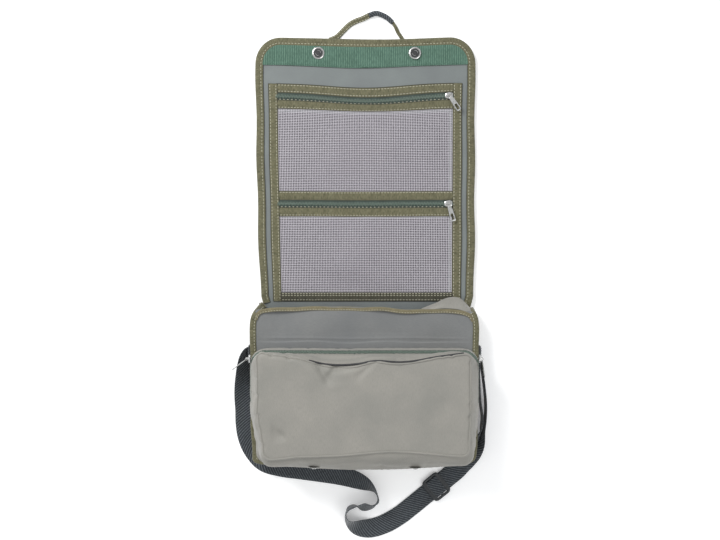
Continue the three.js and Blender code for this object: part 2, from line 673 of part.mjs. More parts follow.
const netLimit = WINDOW - GAP;
strip('lower_net_spine', netGrey(), -netLimit, netLimit, LOWER_SILL + GAP, belowFold, NET);
strip('lower_net_cover', netGrey(), -netLimit, netLimit, aboveFold, LOWER_HEAD - GAP, NET);
strip('upper_net', netGrey(), -netLimit, netLimit, UPPER_SILL + GAP, UPPER_HEAD - GAP, NET);
for (const [zip, y, x, turn] of [['lower', LOWER_ZIP, LOWER_SLIDER_X, LOWER_PULLER_TURN],
  ['upper', UPPER_ZIP, UPPER_SLIDER_X, UPPER_PULLER_TURN]]) {
  place(object, `${zip}_zip`, chainGeometry(), zipGreen(), 0, y + ZIP_TAPE / 2, TRIM_Z);
  zipPull(`${zip}_slider`, `${zip}_puller`, turn, 0, x, y + ZIP_TAPE / 2, SLIDER_Z, [0, 0, 0]);
}

// ---------------------------------------------------------------------------------------------
// Webbing band and sockets on the tip, and the handle on the flap's end
// ---------------------------------------------------------------------------------------------

function bandGeometry() {
  const half = HALF_FLAP - FLAP_BINDING - 2 * GAP;
  const y1 = FLAP_END - BAND_TOP;
  const shape = rectangle(-half, half, y1 - BAND_WIDTH, y1, 0, FLAP_CORNER - BAND_TOP);
  studPlaces.forEach((x) => shape.holes.push(circleHole(x, studY, POST_RADIUS + GAP)));
  return slab(shape, BAND_HEIGHT);
}

place(object, 'webbing_band', bandGeometry(), sage(), 0, 0, TRIM_Z);

function socketGeometry() {
  const seat = TRIM_Z + BAND_HEIGHT + GAP;
  const top = seat + SOCKET_HEIGHT;
  const profile = [[0, 0], [CAP_RADIUS, 0], [CAP_RADIUS, CAP_HEIGHT], [POST_RADIUS, CAP_HEIGHT],
    [POST_RADIUS, seat], [SOCKET_RADIUS, seat], [SOCKET_RADIUS, top - 0.5], [SOCKET_RADIUS - 0.8, top],
    [SOCKET_MOUTH + 0.6, top], [SOCKET_MOUTH, top - 0.5], [SOCKET_MOUTH, seat + 0.4], [0, seat + 0.4]];
  const lathe = new THREE.LatheGeometry(profile.map(([r, h]) => new THREE.Vector2(r, h)), 20);
  return toGeometry(toSolid(lathe).rotate([90, 0, 0]));
}

place(object, 'socket_left', socketGeometry(), nickel(), studPlaces[0], studY, 0);
place(object, 'socket_right', socketGeometry(), nickel(), studPlaces[1], studY, 0);

// The handle's route, as [x, distance past the flap's end, tilt].
const handleRoute = {
  handle_leg_left: [[-44, -6, 0], [-37, 0.9, 0], [-28, 9.5, 0], [-19.5, 17.5, 0], [-11, 21.5, 25],
    [-2.5, 24.5, 30], [7.2, 29.6, 20]],
  handle_grip: [[8.7, 30.4, 20], [15, 31.8, 25], [22, 29.8, 40], [30, 25.6, 45], [36.5, 20, 55]],
  handle_leg_right: [[37.3, 18.6, 55], [40.5, 13.6, 36], [44.5, 7, 0], [48.5, 0.9, 0], [51, -4, 0]],
};
const flapSide = toSolid(block(-HALF_FLAP, HALF_FLAP, 0, FLAP_END + GAP, -BELOW, FRONT_Z));
for (const [name, route] of Object.entries(handleRoute)) {
  const stops = route.map(([x, past, tilt]) => [x, FLAP_END + past, GAP, tilt]);
  const material = name === 'handle_grip' ? webbing() : olive();
  const band = toSolid(bentBand(stops, HANDLE_WIDTH, HANDLE_THICKNESS, 12));
  place(object, name, toGeometry(band.subtract(flapSide)), material);
}

// ---------------------------------------------------------------------------------------------
// Strap: sewn to the pouch's sides, lying loose on the table, shortened by its adjuster
// ---------------------------------------------------------------------------------------------

const anchorX = HALF_BODY + GAP + WEB_THICKNESS / 2 + ANCHOR_CLEAR;
for (const [name, x, y] of [['strap_anchor_left', -anchorX, MOUTH - LEFT_ANCHOR_DROP],
  ['strap_anchor_right', anchorX, MOUTH - RIGHT_ANCHOR_DROP]]) {
  const half = WEB_THICKNESS / 2;
  place(object, name, block(-half, half, -ANCHOR_LENGTH, 0, 0, WEB_WIDTH), webbing(), x, y, ANCHOR_LOW);
}

// Stops of the strap, as [x, y, clear, tilt], from the left anchor to the right one.
const strapRoute = [
  [-149.4, 31.9, 3.5, -90], [-151.2, 24.5, 2.6, -82], [-155.5, 14, 1, -58], [-158.5, 0, 0.3, -26],
  [-158.5, -16, 0.2, -6], [-158, -34, 0.2, 0], [-157.5, -52, 0.2, 0], [-154.5, -70, 0.2, 0],
  [-147, -87, 0.2, 0], [-133, -102.5, 0.2, 0], [-111, -109.5, 0.2, 0], [-86, -113, 0.2, 0],
  [-60, -116.5, 0.2, 0], [-36, -120, 0.2, 0], [-16, -124.5, 0.2, 12], [2, -131.5, 0.2, 40],
  [14.5, -141, 0.2, 80], [17.5, -151, 0.2, 90], [10.5, -158.5, 0.2, 110], [-1, -159.5, 0.2, 125],
  [-13, -158, 0.2, 95], [-21.5, -161.5, 0.2, 90], [-24.5, -169.5, 0.2, 90], [-21, -179.5, 0.2, 65],
  [-10, -187.5, 0.2, 27], [6, -190, 0.2, 4], [25, -185, 0.2, 0], [45, -174, 0.2, 0], [62, -161, 0.2, 0],
  [78, -148, 0.2, 0], [94.5, -134.7, 0.2, 0], [111, -121.3, 0.2, 0], [125, -109, 0.2, 0],
  [138.5, -93.5, 0.2, -20], [148.5, -77, 0.2, -55], [154.5, -60, 0.3, -85], [157.5, -42, 0.5, -90],
  [157.7, -22, 1.2, -90], [155.8, -2, 2.2, -90], [153.5, 16, 3, -90], [151.7, 31.6, 3.5, -90],
];
const ADJUSTER_STOP = 30; // the stop of the route that the adjuster sits on

// Past the adjuster the strap comes back from the right anchor on top of itself, then inside itself.
const returnRoute = [
  [109, -123, 2.4, 0], [125, -109, 2.7, 0], [137.4, -92.8, 3, -20], [146.3, -75.9, 1.6, -55],
  [151.6, -59.5, 0.5, -85], [153.8, -42, 0.5, -90], [151, -22, 1.2, -90], [149.6, -2, 2.2, -90],
  [149.1, 16, 3, -90], [149.4, 31.6, 3.5, -90],
];

place(object, 'strap_webbing', bentBand(strapRoute, WEB_WIDTH, WEB_THICKNESS, 78), webbing());
place(object, 'strap_return', bentBand(returnRoute, WEB_WIDTH, WEB_THICKNESS, 24), webbing());

// Adjuster: a frame over the strap with a middle bar, both clear of the strap below.
function adjusterGeometry() {
  const half = ADJUSTER_LENGTH / 2;
  const side = ADJUSTER_WIDTH / 2;
  const frame = rectangle(-half, half, -side, side, 4, 4);
  const slot = half - 1.5 * ADJUSTER_BAR;
  const reach = side - ADJUSTER_RIM;
  for (const start of [ADJUSTER_BAR / 2, -ADJUSTER_BAR / 2 - slot]) {
    frame.holes.push(rectangle(start, start + slot, -reach, reach, 1, 1, THREE.Path));
  }
  return slab(frame, ADJUSTER_THICKNESS, 3);
}

const [adjusterX, adjusterY] = strapRoute[ADJUSTER_STOP];
const [beforeX, beforeY] = strapRoute[ADJUSTER_STOP - 1];
const adjuster = place(object, 'strap_adjuster', adjusterGeometry(), blackPlastic(), adjusterX, adjusterY,
  ADJUSTER_LIFT + WEB_THICKNESS / 2 + GAP);
adjuster.rotation.z = Math.atan2(adjusterY - beforeY, adjusterX - beforeX);

export default object;
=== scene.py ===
"""Looks of the hanging toiletry bag: cloth, tape, net, zips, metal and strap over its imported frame.

Metres in the frame's own axes: +X is the bag's right, +Y runs from the pouch to the flap's free end
and +Z is up. Flat pieces are cut flat from the frame's sizes and then share one soft unevenness.
"""

from __future__ import annotations

import json
import logging
import math
from dataclasses import dataclass, field
from enum import Enum
from typing import Any, Callable, Sequence

import bmesh
import bpy
import numpy as np
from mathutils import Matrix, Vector

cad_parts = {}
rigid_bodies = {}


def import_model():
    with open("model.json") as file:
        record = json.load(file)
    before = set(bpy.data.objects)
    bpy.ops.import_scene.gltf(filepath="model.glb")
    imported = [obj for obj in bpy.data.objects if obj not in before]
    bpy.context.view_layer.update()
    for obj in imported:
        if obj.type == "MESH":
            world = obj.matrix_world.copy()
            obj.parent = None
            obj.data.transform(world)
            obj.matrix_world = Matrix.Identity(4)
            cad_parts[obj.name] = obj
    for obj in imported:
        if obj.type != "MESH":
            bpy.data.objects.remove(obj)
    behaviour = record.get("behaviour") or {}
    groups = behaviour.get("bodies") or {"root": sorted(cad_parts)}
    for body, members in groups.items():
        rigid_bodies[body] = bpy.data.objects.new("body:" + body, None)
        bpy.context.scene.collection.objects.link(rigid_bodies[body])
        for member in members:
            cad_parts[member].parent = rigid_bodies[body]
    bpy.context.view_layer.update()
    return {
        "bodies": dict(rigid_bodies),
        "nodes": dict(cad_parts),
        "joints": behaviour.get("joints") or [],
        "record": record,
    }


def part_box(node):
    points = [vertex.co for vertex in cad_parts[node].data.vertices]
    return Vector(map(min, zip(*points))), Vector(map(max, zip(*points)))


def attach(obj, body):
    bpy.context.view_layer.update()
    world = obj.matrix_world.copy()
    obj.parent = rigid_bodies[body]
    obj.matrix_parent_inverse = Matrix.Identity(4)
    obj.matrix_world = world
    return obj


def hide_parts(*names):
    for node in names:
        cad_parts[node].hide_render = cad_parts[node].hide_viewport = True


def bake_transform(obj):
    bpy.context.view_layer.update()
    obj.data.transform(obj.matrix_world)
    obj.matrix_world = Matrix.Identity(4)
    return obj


Array = np.ndarray
Material = bpy.types.Material
Piece = bpy.types.Object
Colour = tuple[float, float, float, float]
Stop = tuple[float, float, float, float]
Shape = Callable[[Array], Array]
LOG = logging.getLogger("toiletry_bag")
MM = 0.001
UP = np.array([0.0, 0.0, 1.0])


# ---- Shader graph ----


def srgb(red: int, green: int, blue: int) -> Colour:
    """A screen colour from 0 to 255 as a linear colour.

    Args:
        red: From 0 to 255.
        green: From 0 to 255.
        blue: From 0 to 255.

    Returns:
        The colour, with alpha 1.
    """
    parts = [c / 255 for c in (red, green, blue)]
    linear = [c / 12.92 if c <= 0.04045 else ((c + 0.055) / 1.055) ** 2.4 for c in parts]
    return (linear[0], linear[1], linear[2], 1.0)


class Signal:
    """A number on a node's socket, with operators that add Math nodes."""

    def __init__(self, graph: "Graph", socket: bpy.types.NodeSocket) -> None:
        """Wraps one output socket."""
        self.graph = graph
        self.socket = socket

    def math(self, operation: str, first: Any, second: Any = None, third: Any = None) -> "Signal":
        """One Math node.

        Args:
            operation: The Math node's operation.
            first: First number or signal.
            second: Second number or signal, if the operation has one.
            third: Third number or signal, if the operation has one.

        Returns:
            The node's value.
        """
        values = {i: v for i, v in enumerate((first, second, third)) if v is not None}
        return self.graph.add("ShaderNodeMath", {"operation": operation}, values)["Value"]

    def __add__(self, other: Any) -> "Signal":
        """self + other."""
        return self.math("ADD", self, other)

    __radd__ = __add__

    def __mul__(self, other: Any) -> "Signal":
        """self * other."""
        return self.math("MULTIPLY", self, other)

    __rmul__ = __mul__

    def __sub__(self, other: Any) -> "Signal":
        """self - other."""
        return self.math("SUBTRACT", self, other)

    def __rsub__(self, other: Any) -> "Signal":
        """other - self."""
        return self.math("SUBTRACT", other, self)

    def sine(self) -> "Signal":
        """Sine of self, in radians."""
        return self.math("SINE", self)

    def wave(self, length: float) -> "Signal":
        """A smooth wave from 0 to 1 that repeats every length."""
        return (self * (2 * math.pi / length)).sine() * 0.5 + 0.5

    def within(self, low: float, high: float) -> "Signal":
        """0 at low and below, 1 at high and above, and straight between."""
        settings = {"clamp": True}
        return self.graph.add("ShaderNodeMapRange", settings, {0: self, 1: low, 2: high})["Result"]


class Added:
    """A node that was added to a graph; its outputs are signals."""

    def __init__(self, graph: "Graph", node: bpy.types.Node) -> None:
        """Wraps one node."""
        self.graph = graph
        self.node = node

    def __getitem__(self, name: str | int) -> Signal:
        """The output of that name or number."""
        return Signal(self.graph, self.node.outputs[name])


class Graph:
    """One material's nodes, with its Principled shader at the end."""

    def __init__(self, name: str) -> None:
        """Starts a material with an empty graph."""
        self.material = bpy.data.materials.new(name)
        self.material.use_nodes = True
        self.tree = self.material.node_tree
        self.tree.nodes.clear()
        self.shader = self.add("ShaderNodeBsdfPrincipled", {}, {})
        self.add("ShaderNodeOutputMaterial", {}, {"Surface": self.shader["BSDF"]})

    def add(self, kind: str, settings: dict[str, Any], inputs: dict[str | int, Any]) -> Added:
        """Adds a node.

        Args:
            kind: The node's type.
            settings: Its properties, set first; "stops" is a ramp's list of place and colour.
            inputs: Values or signals by input name or number.

        Returns:
            The node, whose outputs are signals.
        """
        node = self.tree.nodes.new(kind)
        for key, value in settings.items():
            if key == "stops":
                ramp = node.color_ramp
                while len(ramp.elements) < len(value):
                    ramp.elements.new(0.5)
                for element, (place, colour) in zip(ramp.elements, value):
                    element.position = place
                    element.color = colour
            else:
                setattr(node, key, value)
        self.feed(node, inputs)
        return Added(self, node)

    def feed(self, node: bpy.types.Node, inputs: dict[str | int, Any]) -> None:
        """Sets a node's inputs.

        Args:
            node: The node.
            inputs: Values or signals by input name or number.
        """
        for key, value in inputs.items():
            if isinstance(value, Signal):
                self.tree.links.new(value.socket, node.inputs[key])
            else:
                node.inputs[key].default_value = value

    def cloth(self) -> tuple[Signal, Signal]:
        """Places on the cloth in metres, along and across."""
        parts = self.add("ShaderNodeSeparateXYZ", {}, {"Vector": self.place()})
        return parts["X"], parts["Y"]

    def place(self) -> Signal:
        """The place on the cloth as a vector."""
        return self.add("ShaderNodeUVMap", {"uv_map": "cloth"}, {})["UV"]

    def grain(self, scale: float, detail: float) -> Signal:
        """Noise in the piece's own space, for what isn't woven."""
        place = self.add("ShaderNodeTexCoord", {}, {})["Object"]
        return self.add("ShaderNodeTexNoise", {},
                        {"Vector": place, "Scale": scale, "Detail": detail})["Fac"]

    def noise(self, scale: float, detail: float = 2.0, stretch: tuple[float, float] = (1.0, 1.0)) -> Signal:
        """Noise on the cloth.

        Args:
            scale: Features per metre.
            detail: Octaves.
            stretch: Scale along and across the cloth.

        Returns:
            Noise from 0 to 1.
        """
        spread = {"Vector": self.place(), "Scale": (*stretch, 1.0)}
        mapped = self.add("ShaderNodeMapping", {}, spread)["Vector"]
        inputs = {"Vector": mapped, "Scale": scale, "Detail": detail}
        return self.add("ShaderNodeTexNoise", {}, inputs)["Fac"]

    def mix(self, factor: Any, first: Any, second: Any) -> Signal:
        """Mixes two colours by a factor from 0 to 1."""
        return self.add("ShaderNodeMix", {"data_type": "RGBA"}, {0: factor, 6: first, 7: second})[2]

    def finish(self, inputs: dict[str, Any], height: Signal | None = None, depth: float = 0) -> Material:
        """Sets the shader's inputs and its bump.

        Args:
            inputs: Values or signals of the Principled shader.
            height: Height that the bump follows.
            depth: Bump depth in metres.

        Returns:
            The finished material.
        """
        if height is not None:
            bump = self.add("ShaderNodeBump", {}, {"Strength": 1.0, "Distance": depth, "Height": height})
            inputs = {**inputs, "Normal": bump["Normal"]}
        self.feed(self.shader.node, inputs)
        return self.material


class Weave(Enum):
    """How a cloth or tape is woven."""

    PLAIN = "plain"
    RIB = "rib"
    TWILL = "twill"


@dataclass(frozen=True)
class Woven:
    """A woven finish: nylon cloth, binding tape or webbing."""

    name: str
    colour: Colour
    shade: Colour
    glint: Colour
    weave: Weave
    pitch: float
    depth: float
    roughness: float
    sheen: float
    contrast: float
    blotch: float = 18.0

    def material(self) -> Material:
        """Builds the weave, its colour and its unevenness.

        Returns:
            The material.
        """
        graph = Graph(self.name)
        along, across = graph.cloth()
        if self.weave is Weave.PLAIN:
            height = along.wave(self.pitch) * across.wave(self.pitch)
            height = height + (1 - along.wave(self.pitch)) * (1 - across.wave(self.pitch))
        elif self.weave is Weave.RIB:
            height = along.wave(self.pitch) * (across.wave(self.pitch * 0.6) * 0.25 + 0.75)
        else:
            slant = (along * 0.8 + across * 0.6).wave(self.pitch)
            height = slant * ((along * 0.8 - across * 1.4).wave(self.pitch * 0.5) * 0.3 + 0.7)
        patches = graph.noise(self.blotch, 3.0)
        yarn = graph.noise(900.0, 2.0, (1.0, 0.25))
        worn = graph.mix(patches.within(0.35, 0.7), self.colour, self.shade)
        lit = graph.mix(height.within(0.35, 1.0) * self.contrast, worn, self.glint)
        flecked = graph.mix((yarn.within(0.42, 0.7)) * (self.contrast * 0.8), lit, self.shade)
        rough = patches * 0.12 + (self.roughness - 0.06)
        inputs = {"Base Color": flecked, "Roughness": rough, "Sheen Weight": self.sheen,
                  "Sheen Roughness": 0.45, "Specular IOR Level": 0.35}
        return graph.finish(inputs, height + yarn * 0.35, self.depth)


@dataclass(frozen=True)
class Metal:
    """Bright plated metal with fine wear."""

    name: str
    colour: Colour
    roughness: float

    def material(self) -> Material:
        """Builds the metal.

        Returns:
            The material.
        """
        graph = Graph(self.name)
        wear = graph.grain(420.0, 3.0)
        tone = graph.mix(wear.within(0.45, 0.8), self.colour, srgb(150, 150, 148))
        inputs = {"Base Color": tone, "Metallic": 1.0, "Roughness": wear * 0.16 + self.roughness}
        return graph.finish(inputs, wear, 0.00004)


@dataclass(frozen=True)
class Moulded:
    """Moulded plastic or nylon coil with a fine grain."""

    name: str
    colour: Colour
    glint: Colour
    roughness: float
    grain: float = 1500.0  # specks per metre

    def material(self) -> Material:
        """Builds the plastic.

        Returns:
            The material.
        """
        graph = Graph(self.name)
        grain = graph.grain(self.grain, 2.0)
        tone = graph.mix(grain.within(0.4, 0.75), self.colour, self.glint)
        inputs = {"Base Color": tone, "Roughness": grain * 0.2 + self.roughness}
        return graph.finish(inputs, grain, 0.00003)


@dataclass(frozen=True)
class Finishes:
    """Every finish of the bag, built once."""

    taupe: Material
    middle: Material
    lining: Material
    olive: Material
    olive_dark: Material
    gold: Material
    sage: Material
    charcoal: Material
    zip_tape: Material
    coil: Material
    thread: Material
    net: Material
    pocket: Material
    nickel: Material
    dark: Material
    plastic: Material

    @classmethod
    def build(cls) -> "Finishes":
        """Builds the materials.

        Returns:
            The set of finishes.
        """
        return cls(
            taupe=Woven("taupe_nylon", srgb(140, 137, 130), srgb(125, 124, 118), srgb(158, 155, 148),
                        Weave.PLAIN, 0.9 * MM, 0.05 * MM, 0.62, 0.15, 0.5).material(),
            # A darker, bluer copy of the taupe: painted shade on the middle panel, which lies low between pouch and
            # flap.
            middle=Woven("middle_nylon", srgb(116, 117, 116), srgb(104, 106, 107), srgb(136, 137, 135),
                         Weave.PLAIN, 0.9 * MM, 0.05 * MM, 0.58, 0.15, 0.5).material(),
            lining=Woven("grey_lining", srgb(113, 119, 117), srgb(103, 107, 107), srgb(132, 139, 140),
                         Weave.PLAIN, 0.7 * MM, 0.03 * MM, 0.5, 0.2, 0.35).material(),
            olive=Woven("olive_tape", srgb(90, 89, 66), srgb(66, 66, 46), srgb(146, 140, 112),
                        Weave.RIB, 1.5 * MM, 0.25 * MM, 0.8, 0.2, 0.95, 90.0).material(),
            # A darker copy of the olive tape: painted shade, for tapes in shadow and the shadow lines along tape
            # edges.
            olive_dark=Woven("olive_tape_dark", srgb(60, 60, 48), srgb(44, 44, 34), srgb(104, 100, 84),
                             Weave.RIB, 1.5 * MM, 0.25 * MM, 0.8, 0.2, 0.95, 90.0).material(),
            gold=Woven("mouth_tape", srgb(112, 104, 78), srgb(90, 86, 66), srgb(150, 140, 112),
                       Weave.RIB, 1.3 * MM, 0.2 * MM, 0.78, 0.2, 0.85, 90.0).material(),
            sage=Woven("sage_webbing", srgb(68, 101, 86), srgb(54, 84, 70), srgb(112, 143, 126),
                       Weave.RIB, 2.4 * MM, 0.45 * MM, 0.7, 0.2, 0.9, 50.0).material(),
            charcoal=Woven("charcoal_webbing", srgb(38, 44, 50), srgb(30, 34, 39), srgb(116, 123, 127),
                           Weave.TWILL, 2.9 * MM, 0.5 * MM, 0.6, 0.25, 0.8, 40.0).material(),
            zip_tape=Woven("zip_tape", srgb(52, 64, 57), srgb(36, 46, 41), srgb(92, 106, 97),
                           Weave.TWILL, 1.2 * MM, 0.1 * MM, 0.75, 0.2, 0.7, 60.0).material(),
            coil=Moulded("zip_coil", srgb(84, 100, 90), srgb(128, 142, 131), 0.3).material(),
            thread=Woven("stitch_thread", srgb(182, 179, 158), srgb(150, 147, 124), srgb(212, 210, 194),
                         Weave.TWILL, 0.8 * MM, 0.08 * MM, 0.7, 0.2, 0.6, 80.0).material(),
            net=Moulded("net_thread", srgb(178, 173, 180), srgb(216, 212, 218), 0.45).material(),
            pocket=Woven("pocket_shade", srgb(38, 35, 41), srgb(28, 26, 31), srgb(58, 55, 61),
                         Weave.PLAIN, 0.8 * MM, 0.03 * MM, 0.8, 0.1, 0.4).material(),
            nickel=Metal("nickel", srgb(214, 214, 212), 0.16).material(),
            # Near-black: painted shade in the press studs' recesses and in the crease under the pouch's front seam.
            dark=Moulded("dark_well", srgb(30, 30, 31), srgb(58, 58, 60), 0.4).material(),
            plastic=Moulded("black_plastic", srgb(34, 37, 39), srgb(54, 58, 60), 0.32).material(),
        )


# ---- Mesh making ----


def ripples(x: Array, y: Array, size: float, seed: int, count: int = 7) -> Array:
    """Smooth seeded unevenness over a plane.

    Args:
        x: First coordinates in metres.
        y: Second coordinates in metres.
        size: Length of a typical ripple.
        seed: Seed of its directions and phases.
        count: Waves that are summed.

    Returns:
        Heights of about -1 to 1.
    """
    random = np.random.default_rng(seed)
    total = np.zeros(np.broadcast(x, y).shape)
    for _ in range(count):
        turn, phase = random.uniform(0, 2 * math.pi, 2)
        length = size * random.uniform(0.7, 1.7)
        total = total + np.sin(2 * math.pi * (x * math.cos(turn) + y * math.sin(turn)) / length + phase)
    return total / math.sqrt(count)


def unit(vectors: Array) -> Array:
    """Vectors of length 1."""
    return vectors / np.maximum(np.linalg.norm(vectors, axis=-1, keepdims=True), 1e-12)


def quads(index: Array) -> Array:
    """The faces between the points of a grid, by their numbers."""
    return np.stack([index[:-1, :-1], index[:-1, 1:], index[1:, 1:], index[1:, :-1]], -1)


@dataclass
class Line:
    """A line that tape, cord or stitches follow, with its across and up directions."""

    at: Array
    across: Array
    up: Array

    @classmethod
    def through(cls, points: Array, up: Array = UP, closed: bool = False) -> "Line":
        """A line through points, its across direction to the left of its run.

        Args:
            points: Places in order, one row each.
            up: One up direction, or one for each point.
            closed: Whether the last point runs on to the first.

        Returns:
            The line.
        """
        points = np.asarray(points, float)
        if closed:
            along = unit(np.roll(points, -1, 0) - np.roll(points, 1, 0))
        else:
            along = unit(np.gradient(points, axis=0))
        ups = np.broadcast_to(np.asarray(up, float), points.shape)
        across = unit(np.cross(ups, along))
        return cls(points, across, unit(np.cross(along, across)))

    @classmethod
    def along_bag(cls, y: Array, x: Any = 0.0, z: float = 0.0) -> "Line":
        """A level line along the bag, its across direction to the bag's right."""
        points = np.stack([0 * y + x, y, 0 * y + z], -1)
        return cls(points, np.tile([1.0, 0.0, 0.0], (len(y), 1)), np.tile(UP, (len(y), 1)))

    def run(self) -> Array:
        """How far along the line each point is."""
        steps = np.linalg.norm(np.diff(self.at, axis=0), axis=1)
        return np.concatenate([[0.0], np.cumsum(steps)])

    def resampled(self, places: Array) -> "Line":
        """The line at other distances along it.

        Args:
            places: Distances from its start.

        Returns:
            The line there.
        """
        run = self.run()

        def pick(values: Array) -> Array:
            """Values at the new places."""
            return np.stack([np.interp(places, run, values[:, k]) for k in range(3)], -1)

        return Line(pick(self.at), unit(pick(self.across)), unit(pick(self.up)))

    def beside(self, across: float, up: float = 0.0) -> "Line":
        """The line moved sideways and up by its own directions."""
        return Line(self.at + self.across * across + self.up * up, self.across, self.up)


@dataclass
class Skin:
    """Faces gathered for one piece, with each point's place on the flat cloth in metres."""

    points: list[Array] = field(default_factory=list)
    cloth: list[Array] = field(default_factory=list)
    faces: list[Sequence[int]] = field(default_factory=list)
    finishes: list[int] = field(default_factory=list)
    count: int = 0

    def add(self, points: Array, faces: Any, cloth: Array, finish: int = 0) -> None:
        """Adds points and the faces between them.

        Args:
            points: Places, one row each.
            faces: Rows of point numbers, counted from these points' first.
            cloth: Each point's place on the cloth.
            finish: Number of the material.
        """
        rows = (np.asarray(faces) + self.count).tolist()
        self.points.append(points)
        self.cloth.append(cloth)
        self.faces.extend(rows)
        self.finishes.extend([finish] * len(rows))
        self.count += len(points)

    def grid(self, points: Array, cloth: Array, finish: int = 0, wrap: bool = False) -> None:
        """Adds a sheet of points in rows and columns; wrap joins its last column to its first.

        Args:
            points: Rows by columns by 3.
            cloth: Rows by columns by 2.
            finish: The material.
            wrap: Whether it closes.
        """
        rows, columns = points.shape[:2]
        index = np.arange(rows * columns).reshape(rows, columns)
        if wrap:
            index = np.hstack([index, index[:, :1]])
        self.add(points.reshape(-1, 3), quads(index).reshape(-1, 4), cloth.reshape(-1, 2), finish)

    def sweep(self, line: Line, section: Array, finish: int = 0, closed: bool = False) -> None:
        """Carries a closed section along a line.

        Args:
            line: The line that it follows.
            section: Points as across and up, or one such list for each of the line's points.
            finish: Number of the material.
            closed: Whether the line runs back into its start, so that it has no ends.
        """
        sections = np.broadcast_to(section, (len(line.at), *section.shape[-2:]))
        points = (line.at[:, None] + sections[..., :1] * line.across[:, None]
                  + sections[..., 1:] * line.up[:, None])
        run = np.broadcast_to(line.run()[:, None], sections.shape[:2])
        cloth = np.stack([run, sections[..., 0]], -1)
        start, sides = self.count, sections.shape[1]
        if closed:
            points = np.concatenate([points, points[:1]])
            cloth = np.concatenate([cloth, cloth[-1:] + [0.002, 0.0]])
        self.grid(points, cloth, finish, wrap=True)
        if not closed:
            last = start + (len(line.at) - 1) * sides
            self.faces.append(list(range(start, start + sides)))
            self.faces.append(list(range(last + sides - 1, last - 1, -1)))
            self.finishes.extend([finish, finish])

    def beads(self, line: Line, half: tuple[float, float, float], finish: int,
              along_across: bool = False) -> None:
        """Adds a small rounded bead at each of a line's points: a stitch, or a zip's tooth.

        Args:
            line: The places and directions.
            half: Half the bead's length, width and height.
            finish: Number of the material.
            along_across: Whether the bead's length lies across the line.
        """
        lengthwise = unit(np.cross(line.across, line.up))
        long, wide = (line.across, lengthwise) if along_across else (lengthwise, line.across)
        ends = [(-1.0, 0.35), (-0.6, 1.0), (0.6, 1.0), (1.0, 0.35)]
        ring = [(1, 0), (0.7, 0.7), (0, 1), (-0.7, 0.7), (-1, 0), (0, -0.6)]
        offsets = np.array([[t, r * a, r * b] for t, r in ends for a, b in ring]) * half
        points = (line.at[:, None] + offsets[None, :, :1] * long[:, None]
                  + offsets[None, :, 1:2] * wide[:, None] + offsets[None, :, 2:] * line.up[:, None])
        sides = len(ring)
        faces: list[list[int]] = []
        for row in range(len(ends) - 1):
            for k in range(sides):
                low, high = row * sides, (row + 1) * sides
                faces.append([low + k, low + (k + 1) % sides, high + (k + 1) % sides, high + k])
        caps = [list(range(sides)), list(range(3 * sides, 4 * sides))[::-1]]
        size = len(offsets)
        everywhere = [[n * size + k for k in face] for n in range(len(line.at)) for face in faces + caps]
        start = self.count
        self.points.append(points.reshape(-1, 3))
        self.cloth.append(np.tile(offsets[:, :2], (len(line.at), 1)))
        self.faces.extend([[k + start for k in face] for face in everywhere])
        self.finishes.extend([finish] * len(everywhere))
        self.count += size * len(line.at)

    def stitches(self, line: Line, pitch: float, finish: int, length: float = 2.6 * MM) -> None:
        """Sews a row of stitches along a line.

        Args:
            line: Where they lie.
            pitch: From one to the next.
            finish: The thread's material.
            length: Of one stitch.
        """
        run = line.run()
        places = np.arange(pitch, run[-1] - pitch / 2, pitch)
        if len(places):
            self.beads(line.resampled(places), (length / 2, 0.42 * MM, 0.34 * MM), finish)

    def piece(self, name: str, *materials: Material, shape: Shape | None = None,
              sharp: float = 60.0) -> Piece:
        """Makes the object.

        Args:
            name: The piece's name.
            *materials: Its materials, by number.
            shape: Moves every point from the flat pattern to its place.
            sharp: Edges sharper than this many degrees stay crisp.

        Returns:
            The object, linked to the scene.
        """
        points = np.concatenate(self.points)
        if shape is not None:
            points = shape(points)
        mesh = bpy.data.meshes.new(name)
        mesh.from_pydata(points.tolist(), [], self.faces)
        mesh.update()
        places = np.empty(len(mesh.loops), int)
        mesh.loops.foreach_get("vertex_index", places)
        layer = mesh.uv_layers.new(name="cloth")
        layer.data.foreach_set("uv", np.concatenate(self.cloth)[places].astype(np.float32).ravel())
        mesh.polygons.foreach_set("material_index", self.finishes)
        for material in materials:
            mesh.materials.append(material)
        tidy(mesh, sharp)
        made = bpy.data.objects.new(name, mesh)
        bpy.context.scene.collection.objects.link(made)
        return made


def tidy(mesh: bpy.types.Mesh, sharp: float) -> None:
    """Turns every face outwards and shades the mesh smooth, with crisp edges above an angle.

    Args:
        mesh: The mesh.
        sharp: The angle in degrees.
    """
    work = bmesh.new()
    work.from_mesh(mesh)
    bmesh.ops.recalc_face_normals(work, faces=work.faces)
    work.to_mesh(mesh)
    work.free()
    mesh.polygons.foreach_set("use_smooth", [True] * len(mesh.polygons))
    mesh.set_sharp_from_angle(angle=math.radians(sharp))


def tape_section(width: float, thick: float, columns: int = 6, crown: float = 0.0) -> Array:
    """A flat tape's section, centred across and standing on zero, with soft edges.

    Args:
        width: Tape's width.
        thick: Tape's thickness.
        columns: Steps across.
        crown: How far its middle rises.

    Returns:
        The section's points, as across and up.
    """
    across = np.linspace(-1, 1, columns + 1)
    rise = crown * (1 - across ** 2)
    low = np.stack([across * width / 2, rise], -1)
    edge = np.where(np.abs(across) > 0.99, 0.45, 1.0)
    top = np.stack([across * width / 2, rise + thick * edge], -1)
    return np.concatenate([low, top[::-1]])


def round_section(radius: float, sides: int = 8) -> Array:
    """A round section about the line."""
    turn = np.linspace(0, 2 * math.pi, sides, endpoint=False)
    return radius * np.stack([np.cos(turn), np.sin(turn)], -1)


